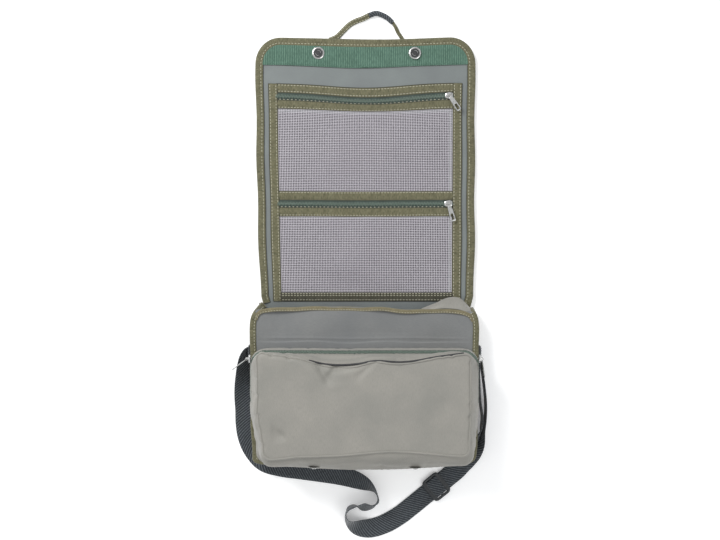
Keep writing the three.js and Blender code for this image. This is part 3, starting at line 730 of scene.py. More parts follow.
def slab_sections(halves: Array, low: float, high: float, columns: int) -> Array:
    """Sections of a slab whose half width changes along its line.

    Args:
        halves: Half the width at each place.
        low: The lower face.
        high: The upper face.
        columns: Points across.

    Returns:
        One closed section per place.
    """
    across = np.linspace(-1, 1, columns + 1)
    flat = np.concatenate([across, across[::-1]])
    height = np.concatenate([np.full(columns + 1, low), np.full(columns + 1, high)])
    return np.stack([halves[:, None] * flat, np.broadcast_to(height, (len(halves), len(flat)))], -1)


def turned(points: Sequence[tuple[float, float]], steps: int = 40) -> tuple[Array, Array]:
    """A profile of radius and height turned about its axis.

    Args:
        points: The profile from axis to axis.
        steps: Steps round the axis.

    Returns:
        Points and faces.
    """
    profile = np.array(points)
    turn = np.linspace(0, 2 * math.pi, steps, endpoint=False)
    ring = np.stack([np.cos(turn), np.sin(turn)], -1)
    places = np.concatenate([profile[:, None, :1] * ring[None], np.broadcast_to(
        profile[:, None, 1:], (len(profile), steps, 1))], -1)
    return places.reshape(-1, 3), np.array([[r * steps + k, r * steps + (k + 1) % steps,
                                             (r + 1) * steps + (k + 1) % steps, (r + 1) * steps + k]
                                            for r in range(len(profile) - 1) for k in range(steps)])


def curve_through(stops: Array, steps: int) -> Array:
    """A smooth curve through stops, with even steps between one stop and the next.

    Args:
        stops: Rows of x, y, z and any further values that vary along the curve.
        steps: Steps from one stop to the next.

    Returns:
        The curve's rows.
    """
    stops = np.asarray(stops, float)
    full = np.vstack([2 * stops[0] - stops[1], stops, 2 * stops[-1] - stops[-2]])
    gaps = np.maximum(np.linalg.norm(np.diff(full[:, :3], axis=0), axis=1) ** 0.5, 1e-6)
    rows = []
    for i in range(len(stops) - 1):
        p0, p1, p2, p3 = full[i:i + 4]
        d0, d1, d2 = gaps[i:i + 3]
        leave = ((p1 - p0) / d0 - (p2 - p0) / (d0 + d1) + (p2 - p1) / d1) * d1
        arrive = ((p2 - p1) / d1 - (p3 - p1) / (d1 + d2) + (p3 - p2) / d2) * d1
        t = np.linspace(0, 1, steps, endpoint=False)[:, None]
        rows.append(p1 + leave * t + (3 * (p2 - p1) - 2 * leave - arrive) * t ** 2
                    + (2 * (p1 - p2) + leave + arrive) * t ** 3)
    return np.vstack([*rows, stops[-1:]])


def band_line(stops: Sequence[Sequence[float]], width: float, thick: float, steps: int) -> Line:
    """The middle line of a flat band that lies and twists on the table.

    Args:
        stops: Millimetres and degrees: x, y, height of the band's lower edge, and tilt.
        width: Band's width.
        thick: Band's thickness.
        steps: Steps from one stop to the next.

    Returns:
        The line, across and up turned with the band.
    """
    table = np.asarray(stops, float) * [MM, MM, MM, math.pi / 180]
    table[:, 2] = np.maximum(table[:, 2], 0.0)
    curve = curve_through(table, steps)
    tilt = curve[:, 3]
    lift = np.abs(np.sin(tilt)) * width / 2 + np.abs(np.cos(tilt)) * thick / 2
    points = curve[:, :3] + np.stack([0 * lift, 0 * lift, lift], -1)
    level = np.gradient(curve[:, :3], axis=0)
    level[:, 2] = 0
    along = unit(level)
    side = unit(np.cross(UP, along))
    across = side * np.cos(tilt)[:, None] + UP * np.sin(tilt)[:, None]
    return Line(points, across, unit(np.cross(along, across)))


def thicken(piece: Piece, thick: float, levels: int = 1) -> None:
    """Gives an open cloth its thickness towards the inside and smooths it, for good.

    Args:
        piece: The piece.
        thick: The thickness in metres.
        levels: Smoothing levels.
    """
    if levels:
        smooth = piece.modifiers.new("smooth", "SUBSURF")
        smooth.levels = levels
        smooth.render_levels = levels
    wall = piece.modifiers.new("wall", "SOLIDIFY")
    wall.thickness = thick
    wall.offset = -1.0
    graph = bpy.context.evaluated_depsgraph_get()
    mesh = bpy.data.meshes.new_from_object(piece.evaluated_get(graph))
    piece.modifiers.clear()
    old = piece.data
    piece.data = mesh
    bpy.data.meshes.remove(old)
    mesh.name = piece.name


def hinge_of(frame: dict[str, Any], joint: str) -> tuple[Array, Array]:
    """Place and axis of one of the frame's joints."""
    found = next(j for j in frame["joints"] if j["name"] == joint)
    return np.array(found["pos_m"], float), np.array(found["axis"], float)


def corners(node: str) -> tuple[Array, Array]:
    """Lowest and highest corner of a CAD node."""
    low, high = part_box(node)
    return np.array(low), np.array(high)


def settle(piece: Piece, nodes: Sequence[str] = (), body: str = "") -> Piece:
    """Joins a piece to the frame.

    Args:
        piece: The piece.
        nodes: The CAD nodes that it stands for.
        body: The body that it rides; left unattached if empty.

    Returns:
        The piece.
    """
    if body:
        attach(piece, body)
    if nodes:
        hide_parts(*nodes)
    return piece


# ---- Flap ----


@dataclass
class FlapForm:
    """The flap's sizes, taken from the frame, and how the real cloth departs from its flat cut."""

    frame: dict[str, Any]
    corner: float = 34 * MM
    binding: float = 10 * MM
    narrowing: float = 7.5 * MM
    widening: float = 2.2 * MM
    wobble: float = 0.9 * MM
    swell: float = 0.8 * MM
    fold_reach: float = 7 * MM

    def __post_init__(self) -> None:
        """Reads the folds and the edges from the frame."""
        self.folds = [hinge_of(self.frame, name)[0][1] for name in ("flap_fold", "cover_fold", "tip_fold")]
        self.bodies = ["pouch", "spine", "cover", "tip"]
        high = corners("flap_binding_tip")[1]
        self.half, self.end = high[0], high[1]
        self.cuts = [self.folds[0] - 10 * MM, (self.folds[0] + self.folds[1]) / 2,
                     (self.folds[1] + self.folds[2]) / 2, self.end]
        self.trim = corners("webbing_band")[0][2]

    def shape(self, points: Array) -> Array:
        """Moves points of the flat cut to where the soft flap has them.

        Args:
            points: Places on the flat flap.

        Returns:
            Places on the real flap.
        """
        x, y, z = points.T
        share = np.clip((y - self.folds[0]) / (self.end - self.folds[0]), 0, 1)
        out = np.abs(x) / self.half
        left = self.narrowing * (1 - share) ** 1.6
        right = self.widening * share
        shift = np.where(x < 0, left * out, right * out)
        edge = np.clip((out - 0.8) / 0.2, 0, 1)
        wave = self.wobble * ripples(y, 0 * y, 0.12, 5) * edge * np.sign(x)
        places = [self.folds[0], 0.25, 0.33, *(self.end - np.array([95, 77, 60, 36, 0]) * MM)]
        dips = np.array([0.0, 0.6, 1.0, 4.2, 7.6, 6.4, 4.4, 2.2]) * MM
        dip = np.interp(y, places, dips) * (np.exp(-(x / 0.078) ** 2) - 0.12 * out ** 2)
        sway = 0.5 * MM * ripples(x, y, 0.09, 11) * share
        rise = self.swell * (1 + ripples(x, y, 0.11, 3)) * np.clip((z - 0.5 * MM) / (3 * MM), 0, 1)
        return np.stack([x + shift + wave, y - dip + sway, z + np.maximum(rise, 0)], -1)

    def across_fold(self, piece: Piece, number: int) -> None:
        """Bakes a piece's transform into its mesh; it is not joined to any body.

        Args:
            piece: The piece.
            number: The fold, from the body outwards; not used.
        """
        self.bodies[number + 1]
        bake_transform(piece)

    def half_at(self, y: Array, hem: float) -> Array:
        """The flap's half width at each place along it, drawn in by a hem.

        Args:
            y: Places along the flap.
            hem: How far it is drawn in.

        Returns:
            The half widths.
        """
        rounded = np.maximum(y - (self.end - self.corner), 0)
        inside = np.sqrt(np.maximum(self.corner ** 2 - rounded ** 2, 0))
        throat = np.interp(y, [self.cuts[0], self.folds[0] + 8 * MM], [5 * MM, 0.0])
        return self.half - self.corner + inside - hem - throat


@dataclass
class FlapPanels:
    """Outer cloth, lining and edge binding of the flap, in three lengths that meet between folds."""

    form: FlapForm
    finishes: Finishes
    names: tuple[str, str, str] = ("root", "middle", "end")
    row: float = 3.5 * MM
    columns: int = 56

    def slab(self, number: int, low: float, high: float, hem: float) -> Skin:
        """One layer of one length.

        Args:
            number: 0 at the pouch, 2 at the free end.
            low: Its lower face.
            high: Its upper face.
            hem: How far its edge stays inside the flap's.

        Returns:
            The layer's faces.
        """
        y0, y1 = self.form.cuts[number], self.form.cuts[number + 1]
        y1 -= hem if number == 2 else 0.0
        y = np.linspace(y0, y1, int((y1 - y0) / self.row) + 2)
        if number == 2:
            turn = self.form.end - self.form.corner
            y = np.concatenate([y[y < turn], turn + (y1 - turn) * np.sin(np.linspace(0, math.pi / 2, 16))])
        skin = Skin()
        skin.sweep(Line.along_bag(y), slab_sections(self.form.half_at(y, hem), low, high, self.columns))
        return skin

    def edge_line(self, number: int, side: int) -> Line:
        """The flap's edge, with across pointing outwards; the free end's runs all the way round.

        Args:
            number: The length of flap.
            side: -1 for left, 1 for right.

        Returns:
            The line.
        """
        form, up = self.form, UP
        y0 = form.cuts[number] + (8.5 * MM if number == 0 and side < 0 else 0.0)
        if number < 2:
            y = np.linspace(y0, form.cuts[number + 1], 30)
            half = form.half_at(y, 0)
            points = np.stack([side * half, y, 0 * y], -1)
            if side < 0:
                points = points[::-1]
        else:
            turn = np.linspace(0, math.pi / 2, 18)
            centre = np.array([form.half - form.corner, form.end - form.corner])
            arc = centre + form.corner * np.stack([np.cos(turn), np.sin(turn)], -1)
            rise = np.stack([np.full(26, form.half), np.linspace(y0, centre[1], 27)[:-1]], -1)
            top = np.stack([np.linspace(centre[0], 0, 20)[1:], np.full(19, form.end)], -1)
            right = np.concatenate([rise, arc, top])
            flat = np.concatenate([right, right[::-1][1:] * [-1, 1]])
            points = np.column_stack([flat, 0 * flat[:, 0]])
        along = unit(np.gradient(points, axis=0))
        return Line(points, unit(np.cross(along, np.broadcast_to(up, points.shape))),
                    np.tile(up, (len(points), 1)))

    def binding_section(self) -> Array:
        """The folded tape round the flap's edge: across is outwards, zero at the edge."""
        w, t = self.form.binding, 0.75 * MM
        top = self.form.trim + 1.0 * MM
        outer = [(-w, 0.1 * MM), (-1.8 * MM, 0.1 * MM), (-0.5 * MM, 0.7 * MM), (0, 2.3 * MM),
                 (-0.1 * MM, 4.0 * MM),
                 (-0.9 * MM, top), (-2.6 * MM, top + 0.55 * MM), (-0.55 * w, top + 0.5 * MM), (-w, top)]
        inner = [(-w, top - t), (-0.55 * w, top - t + 0.4 * MM), (-2.6 * MM, top - t + 0.4 * MM),
                 (-1.2 * MM, 3.6 * MM), (-0.9 * MM, 2.3 * MM), (-1.6 * MM, 0.1 * MM + t),
                 (-w, 0.1 * MM + t)]
        return np.array(outer + inner)

    def bind(self, number: int, side: int) -> Piece:
        """Makes the binding of one length's edge, with its row of stitches and a thin dark cord of painted shadow
        along its inner edge.

        Args:
            number: The length of flap.
            side: -1 for left, 1 for right.

        Returns:
            The piece.
        """
        line = self.edge_line(number, side)
        run = line.run()
        line = line.resampled(np.linspace(0, run[-1], max(int(run[-1] / (3 * MM)), 8)))
        skin = Skin()
        skin.sweep(line, self.binding_section())
        sewn = line.beside(-self.form.binding + 2.3 * MM, self.form.trim + 1.15 * MM)
        skin.stitches(sewn, 4.3 * MM, 1)
        # A thin dark cord along the binding's inner edge: a painted shadow line.
        skin.sweep(line.beside(-self.form.binding - 0.2 * MM, self.form.trim + 0.3 * MM),
                   round_section(0.7 * MM, 6), 2)
        tag = {-1: "_left", 1: "_right"}[side] if number < 2 else ""
        name = f"flap_edge{tag}_{self.names[number]}"
        cloth = (self.finishes.olive, self.finishes.thread, self.finishes.olive_dark)
        return skin.piece(name, *cloth, shape=self.form.shape)

    def build(self) -> list[Piece]:
        """Makes every panel and binding.

        Returns:
            The pieces.
        """
        pieces = []
        for number, (name, length) in enumerate(zip(self.names, ("spine", "cover", "tip"))):
            outer = self.slab(number, 0.9 * MM, 3.1 * MM, 1.2 * MM).piece(
                f"flap_outer_cloth_{name}", self.finishes.taupe, shape=self.form.shape)
            settle(outer, [f"flap_shell_{length}", f"flap_foam_{length}"])
            inner = self.slab(number, 3.15 * MM, 4.3 * MM, 1.5 * MM).piece(
                f"flap_inner_cloth_{name}", self.finishes.lining, shape=self.form.shape)
            made = [outer, settle(inner, [f"flap_lining_{length}"])]
            for side in (-1, 1) if number < 2 else (1,):
                tag = f"{'left' if side < 0 else 'right'}_{length}" if number < 2 else "tip"
                made.append(settle(self.bind(number, side), [f"flap_binding_{tag}"]))
            for piece in made:
                self.form.across_fold(piece, number)
            pieces += made
        return pieces


@dataclass
class NetPockets:
    """Two net pockets on the flap's lining: frame tapes, nets and zips."""

    form: FlapForm
    finishes: Finishes
    lift: float = 0.3 * MM
    tape: float = 0.9 * MM
    mesh_size: float = 2.2 * MM
    thread: float = 0.6 * MM
    swell: float = 2.2 * MM

    def dress(self, skin: Skin, name: str, slot: str, nodes: Sequence[str], body: str | int,
              *materials: Material) -> Piece:
        """Makes a piece of a skin and joins it to its body, or, given a fold's number, only bakes its transform.

        Args:
            skin: The faces.
            name: The piece's name.
            slot: Its slot in the record; not used.
            nodes: The CAD nodes that it stands for.
            body: A body's name, or the number of the fold that it crosses.
            *materials: Its materials.

        Returns:
            The piece.
        """
        piece = settle(skin.piece(name, *materials, shape=self.form.shape), nodes)
        if isinstance(body, int):
            self.form.across_fold(piece, body)
        else:
            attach(piece, body)
        return piece

    def strip(self, start: Array, end: Array, width: float, rows: Sequence[float]) -> Skin:
        """A tape laid straight from one place to another, with rows of stitches and a thin dark cord of painted
        shadow along each edge.

        Args:
            start: Its first place.
            end: Its last place.
            width: The tape's width.
            rows: Where the stitches lie across it.

        Returns:
            The tape.
        """
        steps = max(int(np.linalg.norm(end - start) / (4 * MM)), 2)
        points = start + (end - start) * np.linspace(0, 1, steps + 1)[:, None]
        line = Line.through(points)
        skin = Skin()
        skin.sweep(line, tape_section(width, self.tape, 6, 0.25 * MM))
        for place in rows:
            skin.stitches(line.beside(place, self.tape + 0.15 * MM), 4.1 * MM, 1)
        # A thin dark cord along each edge: painted shadow lines.
        for side in (-1, 1):
            skin.sweep(line.beside(side * width / 2, 0.35 * MM), round_section(0.55 * MM, 6), 2)
        return skin

    def tapes(self) -> list[Piece]:
        """The frame's side, bottom and cross tapes."""
        made = []
        level = self.form.trim - 0.2 * MM
        cloth = (self.finishes.olive, self.finishes.thread, self.finishes.olive_dark)
        # Tapes on the spine take the darker olive all over: painted shade.
        dark = (self.finishes.olive_dark, self.finishes.thread, self.finishes.olive_dark)
        for node in ("pocket_tape_bottom", "lower_zip_tape_below", "lower_zip_tape_above",
                     "upper_zip_tape_below", "upper_zip_tape_above"):
            low, high = corners(node)
            width, middle = high[1] - low[1], (low[1] + high[1]) / 2
            edge = width / 2 - 1.7 * MM
            rows = {"pocket_tape_bottom": (-edge, 1.6 * MM, edge), "upper_zip_tape_above": (edge, -edge)}
            rows = rows.get(node, (edge,) if node.endswith("above") else (-edge,))
            start = np.array([low[0] - 2 * MM, middle, level])
            end = np.array([high[0] + 2 * MM, middle, level])
            body = "spine" if node == "pocket_tape_bottom" else "cover"
            tones = dark if body == "spine" else cloth
            strip = self.strip(start, end, width, rows)
            made.append(self.dress(strip, f"{node}_woven", "olive_tape", [node], body, *tones))
        for side in ("left", "right"):
            low = corners(f"pocket_tape_{side}_spine")[0]
            high = corners(f"pocket_tape_{side}_cover")[1]
            middle, width = (low[0] + high[0]) / 2, high[0] - low[0]
            start = np.array([middle, low[1], level + self.lift])
            end = np.array([middle, high[1], level + self.lift])
            edge = width / 2 - 1.8 * MM
            outward = edge if side == "left" else -edge
            skin = self.strip(start, end, width, (outward, -outward))
            nodes = [f"pocket_tape_{side}_spine", f"pocket_tape_{side}_cover"]
            made.append(self.dress(skin, f"pocket_tape_{side}_woven", "olive_tape", nodes, 1, *cloth))
        return made

    def net(self, name: str, nodes: Sequence[str], body: str | int) -> Piece:
        """Square net over one window.

        Args:
            name: The piece's name.
            nodes: The CAD nodes that it stands for.
            body: Its body, or the fold that it crosses.

        Returns:
            The net.
        """
        boxes = [corners(node) for node in nodes]
        low = np.min([b[0] for b in boxes], 0) - [2 * MM, 2 * MM, 0]
        high = np.max([b[1] for b in boxes], 0) + [2 * MM, 2 * MM, 0]
        cells = [int((high[k] - low[k]) / self.mesh_size) for k in (0, 1)]
        x, y = (np.linspace(low[k], high[k], cells[k] + 1) for k in (0, 1))
        gap = self.thread / 2
        left, bottom = np.meshgrid(x[:-1] + gap, y[:-1] + gap)
        right, top = np.meshgrid(x[1:] - gap, y[1:] - gap)
        hole = np.stack([np.stack([left, bottom], -1), np.stack([right, bottom], -1),
                         np.stack([right, top], -1), np.stack([left, top], -1)], 2)
        knots = np.stack(np.meshgrid(x, y), -1)

        def raised(flat: Array, height: float) -> Array:
            """The net's places over flat ones, domed and a little slack."""
            u = np.clip((flat[..., 0] - low[0]) / (high[0] - low[0]), 0, 1)
            v = np.clip((flat[..., 1] - low[1]) / (high[1] - low[1]), 0, 1)
            dome = np.sin(math.pi * u) ** 0.6 * np.sin(math.pi * v) ** 0.8
            slack = 1 + 0.35 * ripples(flat[..., 0], flat[..., 1], 0.05, 21)
            return np.concatenate([flat, (self.form.trim + height + self.swell * dome * slack)[...,
                                                                                               None]], -1)

        layers = [raised(knots, 0.25 * MM), raised(knots, -0.25 * MM), raised(hole, 0.1 * MM),
                  raised(hole, -0.1 * MM)]
        columns, rows = cells
        count = (columns + 1) * (rows + 1)
        node = np.arange(count).reshape(rows + 1, columns + 1)
        ring = quads(node)
        inner = 2 * count + np.arange(rows * columns * 4).reshape(rows, columns, 4)
        under = inner + rows * columns * 4
        sides = []
        for k in range(4):
            n = (k + 1) % 4
            sides.append(np.stack([ring[..., k], ring[..., n], inner[..., n], inner[..., k]], -1))
            sides.append(np.stack([under[..., k], under[..., n], count + ring[..., n],
                                   count + ring[..., k]], -1))
            sides.append(np.stack([inner[..., k], inner[..., n], under[..., n], under[..., k]], -1))
        border = [node[0, :], node[:, -1], node[-1, ::-1], node[::-1, 0]]
        rims = [np.stack([b[:-1], count + b[:-1], count + b[1:], b[1:]], -1) for b in border]
        faces = np.concatenate([side.reshape(-1, 4) for side in sides + rims])
        points = np.concatenate([layer.reshape(-1, 3) for layer in layers])
        skin = Skin()
        skin.add(points, faces, points[:, :2])
        # A dark sheet under the net: painted shade inside the pocket, behind the gaps between threads.
        sheet = np.stack(np.meshgrid(x[::6], y[::4]), -1)
        back = np.concatenate([sheet, np.full((*sheet.shape[:2], 1), self.form.trim - 0.15 * MM)], -1)
        skin.grid(back, back[..., :2], 1)
        return self.dress(skin, name, "pocket_net", nodes, body, self.finishes.net, self.finishes.pocket)

    def zip(self, which: str) -> Piece:
        """A closed zip: its woven tape and its coil.

        Args:
            which: The pocket, upper or lower.

        Returns:
            The piece.
        """
        low, high = corners(f"{which}_zip")
        middle = (low[1] + high[1]) / 2
        level = self.form.trim
        x = np.arange(low[0] - 2 * MM, high[0] + 2 * MM, 1.35 * MM)
        line = Line.through(np.stack([x, 0 * x + middle, 0 * x + level], -1))
        skin = Skin()
        skin.sweep(line.resampled(line.run()[::3]), tape_section(high[1] - low[1] + 2 * MM, 0.6 * MM, 4))
        coil(skin, line.beside(0, 1.0 * MM), 1)
        skin.stitches(line.beside(-4.0 * MM, 0.7 * MM), 5.2 * MM, 2, 2.2 * MM)
        cloth = (self.finishes.zip_tape, self.finishes.coil, self.finishes.thread)
        return self.dress(skin, f"{which}_zip_chain", "zip_green", [f"{which}_zip"], "cover", *cloth)

    def build(self) -> list[Piece]:
        """Makes the pockets.

        Returns:
            The pieces.
        """
        nets = [self.net("lower_pocket_net", ["lower_net_spine", "lower_net_cover"], 1),
                self.net("upper_pocket_net", ["upper_net"], "cover")]
        return self.tapes() + nets + [self.zip("lower"), self.zip("upper")]


def coil(skin: Skin, line: Line, finish: int) -> None:
    """A zip's coil: two rows of small teeth that mesh along a line.

    Args:
        skin: The skin that takes the teeth.
        line: The zip's line.
        finish: The teeth's material.
    """
    for side, shift in ((-1, 0.0), (1, 0.5)):
        run = line.run()
        places = np.arange(shift * 2.0 * MM, run[-1], 2.0 * MM)
        teeth = line.resampled(places).beside(side * 1.0 * MM)
        skin.beads(teeth, (1.7 * MM, 0.62 * MM, 0.9 * MM), finish, along_across=True)


@dataclass
class FlapEnd:
    """Webbing band, press stud sockets and carrying handle at the flap's free end."""

    form: FlapForm
    finishes: Finishes
    handle_width: float = 10 * MM
    handle_thick: float = 1.6 * MM

    def band(self) -> Piece:
        """The ribbed webbing band across the flap's end."""
        low, high = corners("webbing_band")
        y = np.linspace(low[1], high[1] + 4 * MM, 14)
        half = self.form.half_at(y, self.form.binding - 2.5 * MM)
        skin = Skin()
        skin.sweep(Line.along_bag(y, z=low[2] - 0.2 * MM), slab_sections(half, 0.0, 1.2 * MM, 110))
        skin.cloth = [c[:, ::-1].copy() for c in skin.cloth]
        row = np.linspace(-high[0], high[0], 90)
        sewn = np.stack([row, 0 * row + low[1] + 1.6 * MM, 0 * row + low[2] + 1.15 * MM], -1)
        skin.stitches(Line.through(sewn), 4.2 * MM, 1)
        piece = skin.piece("webbing_band_woven", self.finishes.sage, self.finishes.sage,
                           shape=self.form.shape)
        return settle(piece, ["webbing_band"], "tip")

    def socket(self, side: str) -> Piece:
        """One press stud socket: rolled rim, its well floored with a dark disc of painted shade, and its spring.

        Args:
            side: Left or right.

        Returns:
            The piece.
        """
        low, high = corners(f"socket_{side}")
        centre = (low + high) / 2
        seat = self.form.trim + 2.3 * MM
        top = seat / MM
        rim = [(0, 0), (6.4, 0), (6.5, 0.5), (6.2, 0.9), (2.2, 0.9), (2.2, top), (7.8, top),
               (8.1, top + 0.4),
               (8.0, top + 1.0), (7.4, top + 1.5), (6.7, top + 1.6), (6.1, top + 1.2), (5.8, top + 0.5),
               (0, top + 0.5)]
        skin = Skin()
        points, faces = turned([(r * MM, h * MM) for r, h in rim], 36)
        skin.add(points, faces, points[:, :2])
        # A dark disc in the socket's well: painted shade in its recess.
        well = [(0, top + 0.55), (5.7, top + 0.55), (5.7, top + 0.7), (0, top + 0.72)]
        points, faces = turned([(r * MM, h * MM) for r, h in well], 24)
        skin.add(points, faces, points[:, :2], 1)
        for turn in (0.9, 0.9 + math.pi):
            bow = np.linspace(-0.9, 0.9, 12) + turn
            spring = np.stack([3.4 * MM * np.cos(bow), 3.4 * MM * np.sin(bow), 0 * bow + seat + 0.9 * MM],
                              -1)
            skin.sweep(Line.through(spring), round_section(0.45 * MM, 6))
        piece = skin.piece(f"press_socket_{side}", self.finishes.nickel, self.finishes.dark, sharp=40.0)
        piece.location = (centre[0] + 2.7 * MM, centre[1] - 0.2 * MM, 0.0)
        bpy.context.view_layer.update()
        return settle(piece, [f"socket_{side}"], "tip")

    def handle(self) -> list[Piece]:
        """The handle's two tape legs and its dark ribbed grip, by its stops past the flap's end."""
        routes = {
            "handle_leg_left": [(-46, -3, 0), (-37, 0.9, 0), (-28, 9.5, 0), (-19.5, 17.5, 0),
                                (-11, 21.5, 25),
                                (-2.5, 24.5, 30), (7.2, 29.6, 20)],
            "handle_grip": [(6, 29.2, 20), (15, 31.8, 25), (22, 29.8, 40), (30, 25.6, 45), (37, 19.2, 55)],
            "handle_leg_right": [(36.3, 20, 55), (40.5, 13.6, 36), (44.5, 7, 0), (48.5, 0.9, 0),
                                 (51, -3, 0)],
        }
        made = []
        for name, route in routes.items():
            grip = name == "handle_grip"
            stops = [(x, self.form.end / MM + past, 0.4, tilt) for x, past, tilt in route]
            line = band_line(stops, self.handle_width, self.handle_thick, 8)
            width = {"handle_leg_left": 7.2, "handle_grip": 6.8, "handle_leg_right": 4.8}[name] * MM
            skin = Skin()
            skin.sweep(line, tape_section(width, self.handle_thick * (1.9 if grip else 0.8), 6, 0.1 * MM)
                       - [0, self.handle_thick / 2])
            if name == "handle_leg_left":
                for place in (-2.1 * MM, 2.1 * MM):
                    skin.stitches(line.beside(place, 0.55 * MM), 4.0 * MM, 1)
            cloth = self.finishes.charcoal if grip else self.finishes.olive
            piece = skin.piece(f"{name}_woven", cloth, self.finishes.thread)
            made.append(settle(piece, [name], "handle"))
        return made

    def build(self) -> list[Piece]:
        """Makes the end's pieces.

        Returns:
            The pieces.
        """
        return [self.band(), self.socket("left"), self.socket("right"), *self.handle()]


@dataclass
class ZipPulls:
    """Sliders and pullers, each where its hinge is in the frame."""

    frame: dict[str, Any]
    finishes: Finishes
    hook: float = 4.2 * MM

    def pull(self, slider: str, puller: str, joint: str, up: Array, run: Array) -> list[Piece]:
        """One slider and its puller.

        Args:
            slider: The slider's CAD node, and the body it rides.
            puller: The puller's CAD node.
            joint: The puller's hinge.
            up: Direction away from the cloth.
            run: Direction in which the zip runs.

        Returns:
            Both pieces.
        """
        place, axis = hinge_of(self.frame, joint)
        low, high = corners(puller)
        out = (low + high) / 2 - place
        out = unit(out - axis * (out @ axis))
        side = np.cross(up, run)
        body = Skin()
        base = place - up * self.hook
        outline = [(-5.2, 2.6), (-3.6, 3.3), (0, 4.4), (3.4, 4.0), (5.0, 2.6), (5.0, -2.6), (3.4, -4.0),
                   (0, -4.4),
                   (-3.6, -3.3), (-5.2, -2.6)]
        levels = [(0.0, 0.88), (0.35, 1.0), (1.7, 1.0), (2.3, 0.86), (2.5, 0.6)]
        rings = np.array([[base + run * (a * s * MM) + side * (b * s * MM) + up * (h * MM) for a,
                           b in outline]
                          for h, s in levels])
        body.grid(rings, rings[..., :2], wrap=True)
        count = len(outline)
        body.faces.append(list(range(count)))
        body.faces.append(list(range((len(levels) - 1) * count, len(levels) * count)))
        body.finishes.extend([0, 0])
        bow = np.linspace(0, math.pi, 14)
        along = np.cross(axis, up)
        span = np.stack([np.cos(bow), np.sin(bow)], -1)
        arch = base + axis * (span[:, :1] * 2.6 * MM) + up * (1.9 * MM + span[:, 1:] ** 0.6 * 3.0 * MM)
        body.sweep(Line.through(arch, up=along), tape_section(1.7 * MM, 0.9 * MM, 2))
        made = [settle(body.piece(f"{slider}_cast", self.finishes.nickel, sharp=35.0), [slider])]
        plate = Skin()
        face = np.cross(axis, out)
        self.puller_plate(plate, place, out, axis, face)
        ring = np.linspace(0, 2 * math.pi, 20)[:-1]
        loop = place + out * (np.cos(ring)[:, None] * 1.7 * MM
                              + 0.5 * MM) + face * (np.sin(ring)[:, None] * 1.5 * MM)
        plate.sweep(Line.through(loop, up=axis, closed=True), round_section(0.5 * MM, 6), closed=True)
        hung = plate.piece(f"{puller}_cast", self.finishes.nickel, sharp=35.0)
        return [*made, settle(hung, [puller])]

    def puller_plate(self, skin: Skin, place: Array, out: Array, across: Array, face: Array) -> None:
        """The puller's plate: a rounded outline with a slot near its free end.

        Args:
            skin: Takes the faces.
            place: The hinge.
            out: Direction from the hinge to the free end.
            across: Direction across the plate.
            face: Direction out of the plate.
        """
        turn = np.linspace(0, 2 * math.pi, 48, endpoint=False)

        def rounded(middle: float, long: float, wide: float, taper: float) -> Array:
            """A rounded outline in millimetres, wider towards one end."""
            a = np.abs(np.cos(turn)) ** 0.35 * np.sign(np.cos(turn)) * long + middle
            b = np.abs(np.sin(turn)) ** 0.5 * np.sign(np.sin(turn)) * wide
            return np.stack([a, b * (1 + taper * (a - middle))], -1)

        outer = rounded(13.2, 10.8, 3.1, 0.016)
        slot = rounded(18.0, 4.2, 1.7, 0.02)
        rings = []
        for outline, inset, height in ((outer, 0.0, -0.35), (outer, 0.0, 0.35), (outer, 0.35, 0.62),
                                       (slot, -0.3, 0.62),
                                       (slot, 0.0, 0.35), (slot, 0.0, -0.35), (slot, -0.3, -0.62),
                                       (outer, 0.35, -0.62)):
            middle = outline.mean(0)
            flat = middle + (outline - middle) * (1 - inset / 3.4)
            rings.append(place + flat[:, :1] * MM * out + flat[:, 1:] * MM * across + height * MM * face)
        rings.append(rings[0])
        points = np.array(rings)
        index = np.arange(8 * 48).reshape(8, 48)
        index = np.vstack([index, index[:1]])
        index = np.hstack([index, index[:, :1]])
        flat = points[:8].reshape(-1, 3)
        skin.add(flat, quads(index).reshape(-1, 4), flat[:, :2])

    def build(self) -> list[Piece]:
        """Makes the four pairs.

        Returns:
            The pieces.
        """
        right, forward = np.array([1.0, 0, 0]), np.array([0, 1.0, 0])
        pairs = [("upper", "upper_slider", "upper_puller", UP, right),
                 ("lower", "lower_slider", "lower_puller", UP, right),
                 ("left", "pouch_slider_left", "pouch_puller_left", -right, forward),
                 ("right", "pouch_slider_right", "pouch_puller_right", right, forward)]
        made = []
        for which, slider, puller, up, run in pairs:
            joint = f"puller_{which}_{'lift' if which in ('upper', 'lower') else 'swing'}"
            both = self.pull(slider, puller, joint, up, run)
            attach(both[0], f"slider_{which}")
            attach(both[1], f"puller_{which}")
            made += both
        return made


# ---- Front pouch ----


def rounded_place(u: Array, v: Array, box: Sequence[float], radius: float) -> Array:
    """Places in a rectangle with round corners.

    Args:
        u: Share across, 0 to 1.
        v: Share along, 0 to 1.
        box: Left, right, lower and upper edge.
        radius: Corner radius.

    Returns:
        Flat places, x and y.
    """
    x, y = box[0] + u * (box[1] - box[0]), box[2] + v * (box[3] - box[2])
    inner = np.stack([np.clip(x, box[0] + radius, box[1] - radius),
                      np.clip(y, box[2] + radius, box[3] - radius)], -1)
    out = np.stack([x, y], -1) - inner
    length = np.linalg.norm(out, axis=-1, keepdims=True)
    return inner + out * np.minimum(1, radius / np.maximum(length, 1e-9))


